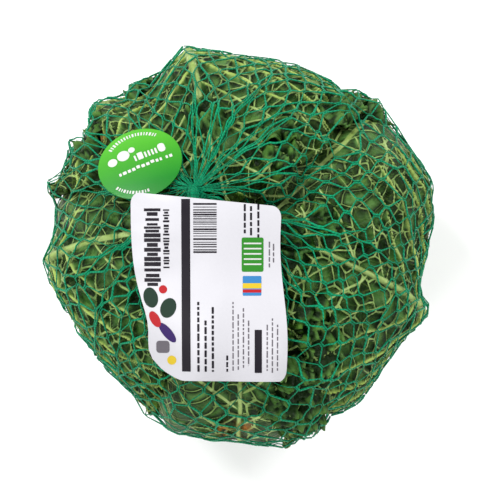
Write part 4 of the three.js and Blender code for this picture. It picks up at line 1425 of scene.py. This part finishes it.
def make_yarn_finish():
    material, board, shader = new_finish("teal_net_yarn", Roughness=0.45, Specular_IOR_Level=0.12)
    run, around = board.told("run"), board.told("round")
    slant = board.sum("ADD", board.sum("MULTIPLY", run, 3.6), board.sum("MULTIPLY", around, 3.0))
    ply = board.sum("SINE", slant, 0.0)
    # Painted shade: the yarn's colour darkens in the grooves of its twist, which the bump also draws
    shade = board.spread(ply, -1.0, 1.0, 0.72, 1.08)
    effect = grain(board, 60.0, 700.0, 0.9)
    shade = board.sum("MULTIPLY", shade, effect.outputs["Shade"])
    board.join(shaded(board, paint(0, 124, 84), shade), shader.inputs["Base Color"])
    bump(board, shader, ply, 0.00012, 0.8)
    return material


def make_tag_finish():
    material, board, shader = new_finish("tag_gloss_card", Roughness=0.3, Coat_Weight=0.35, Coat_Roughness=0.12)
    flat = board.add("ShaderNodeUVMap", uv_map="UVMap").outputs["UV"]
    split = board.add("ShaderNodeSeparateXYZ")
    board.join(flat, split.inputs[0])
    slope = board.sum("SUBTRACT", split.outputs["Y"], board.sum("MULTIPLY", split.outputs["X"], 0.35))
    share = board.spread(slope, -0.13, 0.16)
    colour = board.blend(share, paint(0, 116, 18), paint(70, 160, 30))
    effect = grain(board, 80.0, 1200.0, 0.10)
    board.join(shaded(board, colour, effect.outputs["Shade"]), shader.inputs["Base Color"])
    bump(board, shader, effect.outputs["Height"], 0.00004)
    return material


grain_effect = grain_group()
leaf_finish = make_leaf_finish()
stump_finish = make_plain_finish("cut_stump_flesh", paint(196, 196, 140), 90.0, 700.0, 0.5, 0.0004, Roughness=0.6)
yarn_finish = make_yarn_finish()
tag_finish = make_tag_finish()
paper_finish = make_plain_finish("label_paper", paint(184, 183, 188), 30.0, 900.0, 0.05, 0.00003, Roughness=0.42)
clip_finish = make_plain_finish("clip_metal", paint(190, 192, 196), 100.0, 1500.0, 0.3, 0.00005,
                                Roughness=0.35, Metallic=1.0)
inks = {name: make_plain_finish(name, paint(*colour), 60.0, 1500.0, depth, 0.00002, Roughness=0.5,
                                Specular_IOR_Level=0.15)
        for name, colour, depth in (
            ("ink_dark", (24, 20, 28), 0.2), ("ink_grey", (92, 88, 94), 0.2), ("ink_green", (40, 116, 30), 0.15),
            ("ink_deep_green", (20, 44, 32), 0.2), ("ink_white", (190, 190, 188), 0.05),
            ("ink_blue", (50, 112, 164), 0.12), ("ink_yellow", (190, 164, 40), 0.1),
            ("ink_red", (160, 26, 32), 0.12), ("ink_purple", (46, 26, 84), 0.12))}

for leaf_number in range(len(LEAVES)):
    dressed_leaf(leaf_number)
dressed_heart()
dressed_stump()
dressed_curls()
dressed_tag()
dressed_net()
dressed_label()
dressed_clip()


# Floor, light and camera

FLOOR_SIZE = 6.0
CAMERA_PLACE = (4.8, -2.4, 2200.0)
CAMERA_LENS = 318.5
LIGHT_SIZE = 0.8
LIGHTS = [("back_left_light", (-1.1, 1.2, 1.5), 46), ("back_right_light", (1.2, 1.1, 1.5), 31),
          ("front_left_light", (-1.2, -1.1, 1.5), 24), ("front_right_light", (1.1, -1.2, 1.5), 22)]


def studio():
    pick()
    bpy.ops.mesh.primitive_plane_add(size=FLOOR_SIZE, location=(0, 0, 0))
    floor = bpy.context.active_object
    floor.name = "floor"
    material, _, shader = new_finish("pale_floor", Roughness=0.9)
    shader.inputs["Base Color"].default_value = (0.97, 0.97, 0.97, 1)
    floor.data.materials.append(material)
    world = bpy.context.scene.world or bpy.data.worlds.new("World")
    bpy.context.scene.world = world
    world.use_nodes = True
    world.node_tree.nodes["Background"].inputs[0].default_value = (1, 1, 1, 1)
    world.node_tree.nodes["Background"].inputs[1].default_value = 0.26
    for name, place, power in LIGHTS:
        light = bpy.data.lights.new(name, "AREA")
        light.size = LIGHT_SIZE
        light.energy = power
        lamp = added(name, light)
        lamp.location = place
        lamp.visible_camera = False
        aim = -np.array(place)
        lamp.rotation_euler = (math.acos(-aim[2] / np.linalg.norm(aim)), 0,
                               math.atan2(aim[1], aim[0]) - math.pi / 2)
    camera = bpy.data.cameras.new("camera")
    camera.lens = CAMERA_LENS
    camera.sensor_width = 36
    camera.clip_end = 20
    viewer = added("camera", camera)
    viewer.location = (np.array(CAMERA_PLACE) + SHIFT) * MM
    viewer.rotation_euler = (0, 0, 0)
    bpy.context.scene.camera = viewer
    bpy.context.scene.view_settings.view_transform = "Standard"


studio()
